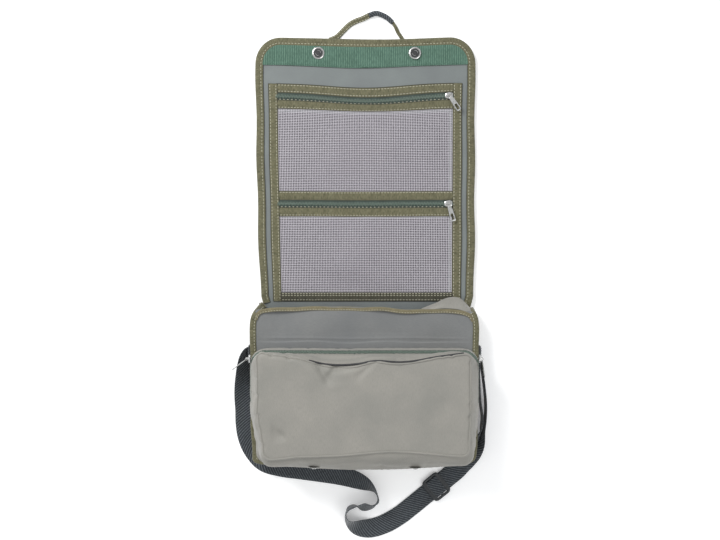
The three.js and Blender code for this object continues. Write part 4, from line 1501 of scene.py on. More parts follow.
@dataclass
class Pouch:
    """The front pouch: one soft skin from its foot to its front, with a zip round three sides."""

    frame: dict[str, Any]
    finishes: Finishes
    across: int = 92
    along: int = 52
    wall: float = 1.0 * MM
    travel: float = 6.0 * MM
    ceiling: float = 82.5 * MM
    zip_ring: tuple[int, int] = (4, 5)

    def __post_init__(self) -> None:
        """Sets the rings, from the foot to the front's seam, in millimetres."""
        self.fold = hinge_of(self.frame, "lid_fold")[0][1]
        self.rings = [(30.0, (-141, 141, -98.5, 48.6), 14), (35.5, (-144, 143.5, -101.0, 48.8), 17),
                      (42.0, (-145.6, 144.6, -102.0, 48.8), 19), (48.0, (-146.0, 145.0, -102.3, 48.5), 20),
                      (52.2, (-145.6, 144.8, -102.2, 48.2), 20), (57.2, (-144.0, 143.3, -101.8, 44.2), 19),
                      (62.0, (-143.5, 142.6, -101.8, 43.6), 17), (67.0, (-142.2, 141.0, -100.8, 45.2), 15),
                      (71.8, (-140.2, 138.2, -97.0, 46.6), 13), (75.8, (-137.8, 135.4, -88.5, 46.4), 11),
                      (78.8, (-135.0, 132.4, -79.5, 47.5), 9.5)]
        self.creases = [(-58, 31, -46.8, 14, 4.5, -2.4), (-46.8, 14, -35, 34, 5.0, -2.2),
                        (-42, 30, -46, 24, 6, 1.6),
                        (-8, 19, 14, 37, 5.5, -1.8), (-20, 26, -2, 36, 6.0, 1.2),
                        (67, 20, 99, -14, 8.0, -2.2),
                        (99, -14, 106, -48, 8.0, -1.6), (84, 20, 112, -10, 8.0, 1.4),
                        (50, 34, 78, 36, 5.0, -1.2),
                        (-110, -50, -98, -60, 8.0, -2.6), (-124, 34, -120, -44, 7.0, 1.6),
                        (-116, -16, -112, -62, 6.0, -1.6), (-70, -67, 40, -59, 5.0, 1.0),
                        (84, -58, 128, -68, 5.0, 1.6), (60, -40, 124, -60, 8.0, -1.3),
                        (-60, -58, 20, -52, 7.0, -0.9)]
        count = self.across, self.along
        u, v = np.linspace(0, 1, count[0] + 1), np.linspace(0, 1, count[1] + 1)
        self.edge_u = np.concatenate([0 * v[:-1], u[:-1], 0 * v[:-1] + 1, u[:0:-1]])
        self.edge_v = np.concatenate([v[:-1], 0 * u[:-1] + 1, v[:0:-1], 0 * u[:-1]])
        self.grid_u, self.grid_v = np.meshgrid(u, v)

    def drawn_in(self, flat: Array, height: Array) -> Array:
        """How the soft pouch departs from its cut: lower corners drawn in, upper edge dipping.

        Args:
            flat: The cut in metres.
            height: How far each point stands from the seam.

        Returns:
            The cut, drawn in.
        """
        x, y = flat[..., 0], flat[..., 1]
        low = np.clip((-0.018 - y) / 0.062, 0, 1)
        low = low * low * (3 - 2 * low)
        pull = np.where(x < 0, 10.5, 5.5) * MM * low * np.clip((height - 0.029) / 0.012, 0, 1)
        edge = np.clip((np.abs(x) / 0.14 - 0.35) / 0.6, 0, 1)
        x = x - np.sign(x) * pull * edge
        high = np.clip((height - 0.066) / 0.014, 0, 1)
        top = np.clip((y + 0.005) / 0.05, 0, 1) ** 1.6
        dip = 15.0 * np.exp(-((x + 0.036) / 0.034) ** 2) + 10.0 * np.exp(-((x - 0.044) / 0.042) ** 2)
        dip = dip - 1.7 * np.clip((-0.085 - x) / 0.05, 0, 1) + 1.2 * np.clip((x - 0.09) / 0.04, 0, 1)
        tuck = 5.4 * MM * np.exp(-((height - 0.0758) / 0.0016) ** 2) * np.clip((x + 0.03) / 0.02, 0, 1)
        foot = np.clip((-y - 0.045) / 0.035, 0, 1)
        rise = 7.0 * np.exp(-((x - 0.035) / 0.055) ** 2) - 4.0 * np.exp(-((x + 0.115) / 0.025) ** 2)
        corner = 10.5 * np.clip(np.abs(x - 0.004) / 0.147, 0, 1.2) ** 2.2 * np.clip((-y - 0.06) / 0.03, 0,
                                                                                    1)
        body = np.clip((height - 0.031) / 0.01, 0, 1)
        y = y - dip * MM * high * top + rise * MM * high * foot + corner * MM * (1 - 0.8 * high) * body - tuck * top
        return np.stack([x, y], -1)

    def cut(self) -> tuple[Array, Array, Array]:
        """The skin before it is blown up.

        Returns:
            Points, quads and each point's place on the cloth.
        """
        rows = []
        for height, box, radius in self.rings:
            flat = rounded_place(self.edge_u, self.edge_v, np.array(box) * MM, radius * MM)
            level = np.full(len(flat), height * MM)
            if height > 57:
                sag = np.exp(-((flat[:, 0] + 0.034) / 0.04) ** 2) * np.clip(flat[:, 1] / 0.04, 0, 1)
                level = level - 2.4 * MM * sag * (height - 57) / 24
            rows.append(np.concatenate([self.drawn_in(flat, level), level[:, None]], -1))
        rings = np.array(rows)
        top = rings[-1]
        nx, ny = self.across, self.along
        left, upper = top[:ny + 1], top[ny:ny + nx + 1]
        right = top[ny + nx:2 * ny + nx + 1][::-1]
        lower = np.concatenate([top[2 * ny + nx:], top[:1]])[::-1]
        u, v = self.grid_u[..., None], self.grid_v[..., None]
        front = ((1 - v) * lower[None] + v * upper[None] + (1 - u) * left[:, None] + u * right[:, None]
                 - (1 - u) * (1 - v) * left[0] - u * (1 - v) * right[0] - (1 - u) * v * left[-1]
                 - u * v * right[-1])
        crown = np.sin(math.pi * self.grid_u) ** 0.7 * np.sin(math.pi * self.grid_v) ** 0.7
        front[..., 2] += 2.0 * MM * crown
        x, y = front[..., 0], front[..., 1]
        front[..., 2] += 0.9 * MM * ripples(x, y, 0.055, 41) * crown
        front[..., 2] -= 2.2 * MM * np.exp(-((x + 0.03) / 0.03) ** 2 - ((y - 0.012) / 0.016) ** 2)
        ring_count = rings.shape[1]
        index = np.arange(rings.shape[0] * ring_count).reshape(rings.shape[0], ring_count)
        wrap = np.hstack([index, index[:, :1]])
        wall = np.stack([wrap[:-1, :-1], wrap[1:, :-1], wrap[1:, 1:], wrap[:-1, 1:]], -1)
        inner = np.arange((ny - 1) * (nx - 1)).reshape(ny - 1, nx - 1) + index.size
        grid = np.empty((ny + 1, nx + 1), int)
        grid[1:-1, 1:-1] = inner
        border = index[-1]
        grid[:, 0], grid[-1, :] = border[:ny + 1], border[ny:ny + nx + 1]
        grid[:, -1] = border[ny + nx:2 * ny + nx + 1][::-1]
        grid[0, :] = np.append(border[2 * ny + nx:], border[0])[::-1]
        panel = quads(grid)
        points = np.concatenate([rings.reshape(-1, 3), front[1:-1, 1:-1].reshape(-1, 3)])
        run = np.concatenate([[0], np.cumsum(np.linalg.norm(np.diff(rings, axis=0).mean(1), axis=-1))])
        length = np.linalg.norm(np.roll(rings[4], -1, 0) - rings[4], axis=-1).cumsum()
        cloth = np.stack([np.broadcast_to(length, rings.shape[:2]),
                          np.broadcast_to(run[:, None] * 8, rings.shape[:2])], -1).reshape(-1, 2)
        cloth = np.concatenate([cloth, front[1:-1, 1:-1, :2].reshape(-1, 2)])
        self.index = index
        return points, np.concatenate([wall.reshape(-1, 4), panel.reshape(-1, 4)]), cloth

    def blown(self, points: Array, faces: Array) -> Array:
        """Settles the skin as cloth with some stuffing behind it.

        Args:
            points: The cut skin's places.
            faces: Its quads.

        Returns:
            The settled places, none further than the travel from its start.
        """
        scale = 10.0
        mesh = bpy.data.meshes.new("pouch_cloth")
        mesh.from_pydata((points * scale).tolist(), [], faces.tolist())
        mesh.update()
        cloth = bpy.data.objects.new("pouch_cloth", mesh)
        bpy.context.scene.collection.objects.link(cloth)
        held = cloth.vertex_groups.new(name="held")
        weights = np.zeros(len(points))
        for ring, weight in ((0, 1.0), (self.zip_ring[0], 0.9), (self.zip_ring[1], 0.9),
                             (len(self.rings) - 1, 0.12)):
            weights[self.index[ring]] = weight
        for weight in (1.0, 0.9, 0.12):
            held.add(np.nonzero(weights == weight)[0].tolist(), weight, "REPLACE")
        modifier = cloth.modifiers.new("cloth", "CLOTH")
        settings = modifier.settings
        settings.quality = 6
        settings.mass = 0.25
        settings.tension_stiffness = 15
        settings.compression_stiffness = 15
        settings.shear_stiffness = 4
        settings.bending_stiffness = 0.35
        settings.shrink_min = -0.03
        settings.use_pressure = True
        settings.uniform_pressure_force = 4.0
        settings.vertex_group_mass = "held"
        settings.pin_stiffness = 1.0
        settings.effector_weights.gravity = 0.0
        modifier.collision_settings.use_collision = False
        modifier.point_cache.frame_start, modifier.point_cache.frame_end = 1, 20
        scene = bpy.context.scene
        for frame in range(1, 21):
            scene.frame_set(frame)
        graph = bpy.context.evaluated_depsgraph_get()
        moved = np.empty(len(points) * 3, np.float32)
        cloth.evaluated_get(graph).data.vertices.foreach_get("co", moved)
        scene.frame_set(1)
        bpy.data.objects.remove(cloth)
        bpy.data.meshes.remove(mesh)
        step = moved.reshape(-1, 3) / scale - points
        length = np.linalg.norm(step, axis=1, keepdims=True)
        LOG.info("pouch cloth moved %.1f mm on average, %.1f mm at most", length.mean() / MM,
                 length.max() / MM)
        return points + step * np.minimum(1, self.travel / np.maximum(length, 1e-9))

    def creased(self, points: Array) -> Array:
        """Presses the front's folds into the skin and lets its shoulder buckle.

        Args:
            points: The settled skin.

        Returns:
            The skin with its folds.
        """
        points = points.copy()
        front = np.arange(self.index[-1, 0], len(points))
        x, y = points[front, 0], points[front, 1]
        for x0, y0, x1, y1, width, depth in self.creases:
            start, way = np.array([x0, y0]) * MM, np.array([x1 - x0, y1 - y0]) * MM
            share = np.clip(((x - start[0]) * way[0] + (y - start[1]) * way[1]) / (way @ way), 0, 1)
            away = np.hypot(x - start[0] - share * way[0], y - start[1] - share * way[1])
            fade = 0.35 + 0.65 * np.sin(math.pi * np.clip(share * 0.8 + 0.1, 0, 1))
            points[front, 2] += 2.1 * depth * MM * fade * np.exp(-(away / (width * MM)) ** 1.4)
        rings = self.index[self.zip_ring[1] + 1:-1]
        place = points[rings]
        run = np.linalg.norm(np.diff(place, axis=1, append=place[:, :1]), axis=-1).cumsum(1)
        swing = np.sin(math.pi * (np.arange(1, len(rings) + 1) / (len(rings) + 1)))[:, None]
        buckle = 1.5 * MM * ripples(run, 3 * place[..., 2], 0.05, 43) * swing
        away = place - place.mean(1, keepdims=True)
        away[..., 2] = 0
        points[rings] = place + unit(away) * buckle[..., None]
        for ring, reach in ((3, 145.6), (4, 143.2), (5, 143.0), (6, 143.0)):
            row = points[self.index[ring]]
            leg = np.clip((row[:, 1] + 0.04) / 0.02, 0, 1)
            row[:, 0] -= np.sign(row[:, 0]) * np.maximum(np.abs(row[:, 0]) - reach * MM, 0) * leg
            points[self.index[ring]] = row
        over = np.maximum(points[:, 2] - self.ceiling, 0)
        points[:, 2] -= over * (1 - 0.25 / (1 + over / (2 * MM)))
        return points

    def part(self, name: str, faces: Array, finish: Material) -> Piece:
        """Cuts one piece out of the settled skin and gives it its thickness.

        Args:
            name: The piece's name.
            faces: Its faces.
            finish: Its material.

        Returns:
            The piece.
        """
        used, rows = np.unique(faces, return_inverse=True)
        skin = Skin()
        skin.add(self.points[used], rows.reshape(-1, 4), self.cloth[used])
        piece = skin.piece(name, finish)
        if self.faces_in(piece):
            piece.data.flip_normals()
        thicken(piece, self.wall)
        tidy(piece.data, 60.0)
        return piece

    def faces_in(self, piece: Piece) -> bool:
        """Whether an open skin's normals point to the pouch's inside."""
        middle = Vector((0.0, -0.025, 0.045))
        return sum((face.center - middle).dot(face.normal) * face.area for face in piece.data.polygons) < 0

    def zip_line(self, ring: float) -> Line:
        """The zip's line at a ring, from the left leg's foot over the top to the right leg's.

        Args:
            ring: The ring, which may lie between two.

        Returns:
            The line.
        """
        low = int(ring)
        part = ring - low
        line = self.points[self.index[low]] * (1 - part) + self.points[self.index[min(low + 1, 10)]] * part
        ny, nx = self.along, self.across
        line = line[:2 * ny + nx + 1]
        keep = line[:, 1] > self.fold
        line = line[keep]
        ring = [self.points[self.index[k]][:2 * ny + nx + 1][keep] for k in self.zip_ring]
        across = unit(ring[1] - ring[0])
        outward = unit(np.cross(np.gradient(line, axis=0), across))
        outward = outward if outward[0, 0] < 0 else -outward
        return Line(line, across, outward)

    def chain(self, name: str, side: int, node: str) -> Piece:
        """Half of the zip: its tape and its row of teeth, on one side of the opening.

        Args:
            name: The piece's name.
            side: Which side of the opening.
            node: Its CAD node.

        Returns:
            The piece.
        """
        line = self.zip_line(4.5)
        run = line.run()
        fine = line.resampled(np.arange(1 * MM, run[-1], 2.0 * MM))
        skin = Skin()
        tape = line.resampled(np.linspace(0, run[-1], 160)).beside(side * 1.9 * MM, 0.1 * MM)
        skin.sweep(tape, tape_section(3.4 * MM, 0.6 * MM, 3))
        teeth = fine.resampled(fine.run() + (0.5 + side * 0.5) * MM).beside(side * 0.9 * MM, 0.5 * MM)
        skin.beads(teeth, (1.6 * MM, 0.62 * MM, 0.9 * MM), 1, along_across=True)
        return settle(skin.piece(name, self.finishes.zip_tape, self.finishes.coil), [node])

    def piping(self, name: str, line: Array, radius: float, closed: bool) -> Piece:
        """A raised seam along a row of the settled skin.

        Args:
            name: The piece's name.
            line: The row.
            radius: The cord's.
            closed: Whether it is a loop.

        Returns:
            The piece.
        """
        skin = Skin()
        middle = Line.through(line, closed=closed)
        skin.sweep(middle, round_section(radius, 8), closed=closed)
        return skin.piece(name, self.finishes.taupe)

    def bend(self, piece: Piece) -> None:
        """Bakes a piece's transform into its mesh; it is not joined to any body."""
        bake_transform(piece)

    def stud(self, side: str) -> Piece:
        """A press stud's ball on the pouch's bottom wall.

        Args:
            side: Left or right.

        Returns:
            The piece.
        """
        low, high = corners(f"pouch_stud_{side}")
        centre = (low + high) / 2
        profile = [(0, 0), (7.0, 0), (7.4, 0.4), (7.1, 0.8), (4.2, 1.0), (3.2, 1.2), (2.9, 1.6),
                   (3.3, 2.1), (3.0, 2.6),
                   (1.8, 2.9), (0, 3.0)]
        points, faces = turned([(r * MM, h * MM) for r, h in profile], 36)
        turned_out = np.stack([points[:, 0], -points[:, 2], points[:, 1]], -1)
        ring = self.points[self.index[7]]
        near = ring[(np.abs(ring[:, 0] - centre[0]) < 6 * MM) & (ring[:, 1] < -0.08)]
        skin = Skin()
        skin.add(turned_out, faces, points[:, :2])
        piece = skin.piece(f"press_stud_{side}", self.finishes.nickel, sharp=40.0)
        piece.location = (centre[0], near[:, 1].min() + 0.6 * MM, centre[2] - 2.5 * MM)
        bpy.context.view_layer.update()
        return settle(piece, [f"pouch_stud_{side}"], "pouch")

    def build(self) -> list[Piece]:
        """Makes the pouch's pieces.

        Returns:
            The pieces.
        """
        points, faces, self.cloth = self.cut()
        self.points = self.creased(self.blown(points, faces))
        ny, nx = self.along, self.across
        walls = faces[:(len(self.rings) - 1) * len(self.edge_u)].reshape(len(self.rings) - 1, -1, 4)
        low, high = self.zip_ring
        slit = walls[low:high].reshape(-1, 4)
        below = self.points[slit].mean(1)[:, 1] < self.fold
        lower = np.concatenate([walls[:low].reshape(-1, 4), slit[below]])
        upper = walls[high:].reshape(-1, 4)
        gusset = self.part("pouch_wall_cloth", lower, self.finishes.taupe)
        shoulder = self.part("pouch_lid_cloth", upper, self.finishes.taupe)
        panel = faces[len(walls) * len(self.edge_u):]
        front = self.part("pouch_front_cloth", panel, self.finishes.taupe)
        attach(gusset, "pouch")
        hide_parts("pouch_shell")
        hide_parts("pouch_lid")
        seam = self.piping("pouch_front_seam", self.points[self.index[-1]], 1.45 * MM, True)
        # A dark cord just outside the front's top seam: a painted shadow line in the crease there.
        fold = self.points[self.index[-1]][:2 * ny + nx + 1]
        fold = fold[(np.abs(fold[:, 0] - 0.0275) < 0.0995) & (fold[:, 1] > 0.03)]
        fold = np.stack([np.convolve(np.pad(row, 4, "edge"), np.ones(9) / 9, "valid") for row in fold.T],
                        -1)
        out = unit(fold * (0.35, 1, 0))
        fold = self.piping("pouch_seam_cord", fold + 1.9 * MM * out - (0, 0, 0.1 * MM), 1.3 * MM, False)
        fold.data.materials[0] = self.finishes.dark
        lip = self.points[self.index[high]][:2 * ny + nx + 1]
        lip = self.piping("pouch_zip_lip", lip[lip[:, 1] > self.fold], 0.75 * MM, False)
        chains = [self.chain("pouch_zip_lower_row", -1, "pouch_zip_base"),
                  self.chain("pouch_zip_upper_row", 1, "pouch_zip_lid")]
        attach(chains[0], "pouch")
        for piece in (shoulder, front, seam, fold, lip, chains[1]):
            self.bend(piece)
        return [gusset, shoulder, front, seam, fold, lip, *chains, self.stud("left"), self.stud("right")]


# ---- Main compartment ----


@dataclass
class Compartment:
    """The main compartment: rear wall, soft side wall, middle panel and their bindings."""

    form: FlapForm
    finishes: Finishes
    outline: tuple[tuple[float, float], ...] = (
        (-134.5, 108.0), (-138.5, 103.5), (-143.6, 96.0), (-147.2, 88.0), (-148.6, 78.0), (-148.0, 62.0),
        (-147.0, 40.0), (-146.6, 0.0), (-146.0, -50.0), (-144.6, -84.0), (-143.2, -96.0), (-136.0, -99.6),
        (-100.0, -100.2), (-40.0, -101.6), (0.0, -102.0), (50.0, -101.4), (100.0, -99.8), (136.0, -98.4),
        (142.2, -94.0), (144.0, -82.0), (145.4, -50.0), (146.4, 0.0), (147.0, 40.0), (147.8, 62.0),
        (148.0, 78.0),
        (146.4, 89.0), (143.6, 96.0), (140.4, 101.5))
    mouth: tuple[tuple[float, float], ...] = (
        (-143.0, 88.0), (-140.0, 95.0), (-134.5, 99.4), (-124.0, 101.0), (-90.0, 102.4), (-51.0, 103.2),
        (0.0, 102.2), (26.0, 101.4),
        (58.0, 99.0), (80.0, 99.4), (102.0, 100.2), (120.0, 98.4), (130.0, 96.6), (138.0, 92.6),
        (142.5, 86.0))

    def edge(self, steps: int = 6) -> Array:
        """The body's outline at the middle panel, smooth and evenly spaced, in metres.

        Args:
            steps: Points between stops.

        Returns:
            The outline.
        """
        stops = np.array([(x, y, 0.0) for x, y in self.outline]) * MM
        line = Line.through(curve_through(stops, steps))
        return line.resampled(np.linspace(0, line.run()[-1], 420)).at

    def fall(self, edge: Array) -> Array:
        """Share of the body's height that its edge keeps as it runs down to the flap at the mouth."""
        share = np.clip((edge[:, 1] - 95 * MM) / (13 * MM), 0, 1)
        return 1 - 0.8 * share * share * (3 - 2 * share)

    def side_wall(self) -> Piece:
        """The soft wall between the rear wall and the middle panel, open at the mouth."""
        edge = self.edge()
        along = unit(np.gradient(edge, axis=0))
        out = np.cross(along, UP)
        if out[200] @ edge[200] < 0:
            out = -out
        run = np.linalg.norm(np.diff(edge, axis=0), axis=1).cumsum()
        run = np.concatenate([[0.0], run])
        levels = np.array([3.6, 6.0, 9.5, 13.5, 17.5, 21.5, 25.0, 27.6, 28.6]) * MM
        tuck = np.array([8.4, 6.2, 3.2, 1.0, 0.0, -0.2, 0.4, 1.3, 2.0]) * MM
        sheet = edge[None] - out[None] * tuck[:, None, None]
        sheet = sheet + UP * (4 * MM + (levels[:, None, None] - 4 * MM) * self.fall(edge)[None, :, None])
        swing = np.sin(np.linspace(0, math.pi, len(levels)))[:, None]
        fold = ripples(run[None] * np.ones_like(levels[:, None]),
                       levels[:, None] * 2.5 * np.ones_like(run), 0.045, 61)
        sheet = sheet + out[None] * (1.3 * MM * fold * swing)[..., None]
        skin = Skin()
        skin.grid(sheet, np.stack(np.broadcast_arrays(run[None], levels[:, None] * 1.2), -1))
        piece = skin.piece("body_wall_cloth", self.finishes.taupe)
        middle = sum((p.center.x * p.normal.x
                      + (p.center.y) * p.normal.y) * p.area for p in piece.data.polygons)
        if middle < 0:
            piece.data.flip_normals()
        thicken(piece, 1.0 * MM)
        tidy(piece.data, 60.0)
        return settle(piece, ["main_gusset"])

    def panel(self, name: str, slot: str, nodes: Sequence[str], finish: Material, low: float, high: float,
              rows: tuple[Array, Array, Array], bumps: bool) -> Piece:
        """A flat cloth panel that spans the body from side to side.

        Args:
            name: The piece's name.
            slot: Its slot; not used.
            nodes: The CAD nodes that it stands for.
            finish: Its material.
            low: Lower face.
            high: Upper face.
            rows: Places along the bag, and the panel's left and right edge there.
            bumps: Whether it sags and creases as the middle panel does.

        Returns:
            The panel.
        """
        y, left, right = rows
        skin = Skin()
        skin.sweep(Line.along_bag(y, (left + right) / 2), slab_sections((right - left) / 2, low, high, 96))

        def sagged(points: Array) -> Array:
            """The middle panel's slack, its seam and its bowed mouth edge."""
            x, y = points[:, 0], points[:, 1]
            inside = np.clip((0.142 - np.abs(x)) / 0.03, 0, 1)
            top = np.clip((y - 0.05) / 0.02, 0, 1)
            wave = 1.1 * MM * (ripples(x, y, 0.09, 17) - 1.2) * inside * top
            ridge = 0.8 * MM * (np.clip((0.0585 + 0.0015 * ripples(x, 0 * x, 0.1, 9) - y) / 0.0012, 0,
                                        1)) * inside
            second = 0.4 * MM * np.exp(-((y - 0.0625 - 0.0012 * ripples(x, 0 * x, 0.12,
                                                                        10)) / 0.0016) ** 2) * inside
            inner = self.mouth[2:-2]
            rim = np.interp(x, [p[0] * MM for p in inner], [p[1] * MM for p in inner]) - 0.1015
            lift = rim * np.clip((y - 0.07) / 0.03, 0, 1)
            return np.stack([x, y + lift, points[:, 2] + wave + ridge + second], -1)

        return settle(skin.piece(name, finish, shape=sagged if bumps else None), nodes)

    def panels(self) -> list[Piece]:
        """Rear wall, its lining and the middle panel."""
        low, high = corners("rear_panel")
        y = np.concatenate([low[1] + 34 * MM * (1 - np.cos(np.linspace(0, math.pi / 2, 14))),
                            np.linspace(low[1] + 37 * MM, high[1], 48)])
        depth = np.clip(low[1] + 34 * MM - y, 0, None)
        half = high[0] - 34 * MM + np.sqrt(np.maximum((34 * MM) ** 2 - depth ** 2, 0))
        rows = (y, -half, half)
        rear = self.panel("rear_wall_cloth", "taupe_nylon", ["rear_panel", "rear_foam"],
                          self.finishes.taupe,
                          0.1 * MM, 3.2 * MM, rows, False)
        inside = (y, -half + 2 * MM, half - 2 * MM)
        lining = self.panel("rear_wall_lining", "grey_lining", ["rear_lining"], self.finishes.lining,
                            3.3 * MM, 4.3 * MM, inside, False)
        edge = self.edge()
        middle = np.argmin(edge[:, 1])
        levels = np.concatenate([np.linspace(-98.6, -86, 14), np.linspace(-84, 48, 54),
                                 np.linspace(49, 101.5, 84)]) * MM
        left = np.interp(levels, edge[:middle, 1][::-1], edge[:middle, 0][::-1])
        right = np.interp(levels, edge[middle:, 1], edge[middle:, 0])
        rows = (levels, left + 0.8 * MM, right - 0.8 * MM)
        # The middle panel takes the darker taupe copy: painted shade.
        front = self.panel("middle_panel_cloth", "taupe_nylon", ["middle_panel"], self.finishes.middle,
                           27.9 * MM, 28.9 * MM, rows, True)
        return [rear, lining, front]

    def wrapped(self, width: float, thick: float, depth: float) -> Array:
        """A narrow tape folded over an edge: across points outwards, up stands on the panel.

        Args:
            width: On the panel.
            thick: The tape's.
            depth: Round the edge.

        Returns:
            The section.
        """
        t = thick
        return np.array([(-width, 0), (-width * 0.5, 0.25 * MM), (-1.5 * MM, 0.3 * MM), (0, -0.4 * MM),
                         (0.5 * MM, -depth / 2), (0, -depth), (-1.6 * MM, -depth - 0.5 * MM),
                         (-width, -depth),
                         (-width, -depth + t), (-1.8 * MM, -depth + t), (-0.6 * MM, -depth / 2),
                         (-1.8 * MM, -t),
                         (-width, -t)])

    def bindings(self) -> list[Piece]:
        """The olive edge binding round the body and the one along the mouth."""
        edge = self.edge()
        top = 4.4 * MM + 25.5 * MM * self.fall(edge)
        wobble = 0.5 * MM * ripples(edge[:, 0], edge[:, 1], 0.05, 71)
        line = Line.through(edge + np.stack([wobble, 0 * wobble, top], -1))
        if line.across[5, 0] > 0:
            line = Line(line.at, -line.across, line.up)
        skin = Skin()
        skin.sweep(line, self.wrapped(7.6 * MM, 0.8 * MM, 2.6 * MM))
        skin.stitches(line.beside(-5.6 * MM, 0.35 * MM), 4.0 * MM, 1)
        side = skin.piece("body_edge_binding", self.finishes.olive, self.finishes.thread)
        stops = np.array([(x, y, 30.3 - 1.6 * (1 - abs(x) / 140)) for x, y in self.mouth]) * MM
        rim = Line.through(curve_through(stops, 10))
        rim = rim.resampled(np.linspace(0, rim.run()[-1], 180))
        sway = 0.45 * MM * ripples(rim.at[:, 0], 0 * rim.at[:, 0], 0.035, 72)
        rim = Line.through(rim.at + np.stack([0 * sway, sway, 0.6 * sway], -1))
        if rim.across[90, 1] < 0:
            rim = Line(rim.at, -rim.across, rim.up)
        skin = Skin()
        skin.sweep(rim, self.wrapped(4.8 * MM, 0.7 * MM, 2.4 * MM))
        skin.stitches(rim.beside(-3.6 * MM, 0.3 * MM), 3.6 * MM, 1, 2.0 * MM)
        mouth = skin.piece("mouth_edge_binding", self.finishes.gold, self.finishes.thread)
        return [settle(side, ["body_binding"]),
                settle(mouth, ["mouth_binding"])]

    def fold(self) -> Piece:
        """The side wall's cloth that folds over inside the mouth's right end."""
        low = curve_through(np.array([(72, 98.0, 27.5), (90, 100.0, 28.4), (108, 101.0, 28.8),
                                      (124, 99.0, 28.8),
                                      (138, 93.5, 28.2)]) * MM, 10)
        high = curve_through(np.array([(74, 100.5, 20.0), (92, 107.5, 17.0), (109, 114.5, 14.0),
                                       (124, 114.0, 13.0),
                                       (139, 100.0, 18.0)]) * MM, 10)
        share = np.linspace(0, 1, 14)[:, None, None]
        sheet = low[None] * (1 - share) + high[None] * share
        arch = np.sin(math.pi * share[..., 0]) ** 0.8
        rise = 2.6 * MM * arch * (1 + 0.6 * ripples(sheet[..., 0], sheet[..., 1], 0.028, 81))
        sheet[..., 2] += rise
        skin = Skin()
        skin.grid(sheet, sheet[..., :2])
        piece = skin.piece("mouth_fold_cloth", self.finishes.taupe)
        thicken(piece, 0.8 * MM)
        tidy(piece.data, 60.0)
        return piece

    def anchor(self, side: int) -> Piece:
        """The webbing tab that holds one end of the strap, with two rows of stitches.

        Args:
            side: -1 for left, 1 for right.

        Returns:
            The piece.
        """
        word = "left" if side < 0 else "right"
        low, high = corners(f"strap_anchor_{word}")
        y0, y1 = low[1], high[1]
        x = side * np.array([148.9, 149.3, 149.2, 149.0, 148.9]) * MM
        y = np.linspace(y1, y0, 5)
        stops = np.stack([x, y, 0 * y + (low[2] + high[2]) / 2], -1)
        curve = curve_through(stops, 6)
        line = Line.through(curve, up=UP)
        turned_line = Line(line.at, np.tile(UP, (len(curve), 1)),
                           line.across * (-1 if line.across[2, 0] * side < 0 else 1))
        skin = Skin()
        skin.sweep(turned_line, tape_section(high[2] - low[2], 1.5 * MM, 8))
        for place in (-9.5 * MM, 9.5 * MM):
            skin.stitches(turned_line.beside(place, 1.6 * MM), 3.2 * MM, 1)
        piece = skin.piece(f"strap_anchor_{word}_woven", self.finishes.charcoal, self.finishes.charcoal)
        return settle(piece, [f"strap_anchor_{word}"])

    def build(self) -> list[Piece]:
        """Makes the compartment's pieces.

        Returns:
            The pieces.
        """
        made = [self.side_wall(), *self.panels(), *self.bindings(), self.anchor(-1), self.anchor(1)]
        for piece in made:
            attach(piece, "pouch")
        fold = self.fold()
        self.form.across_fold(fold, 0)
        return [*made, fold]


# ---- Shoulder strap ----


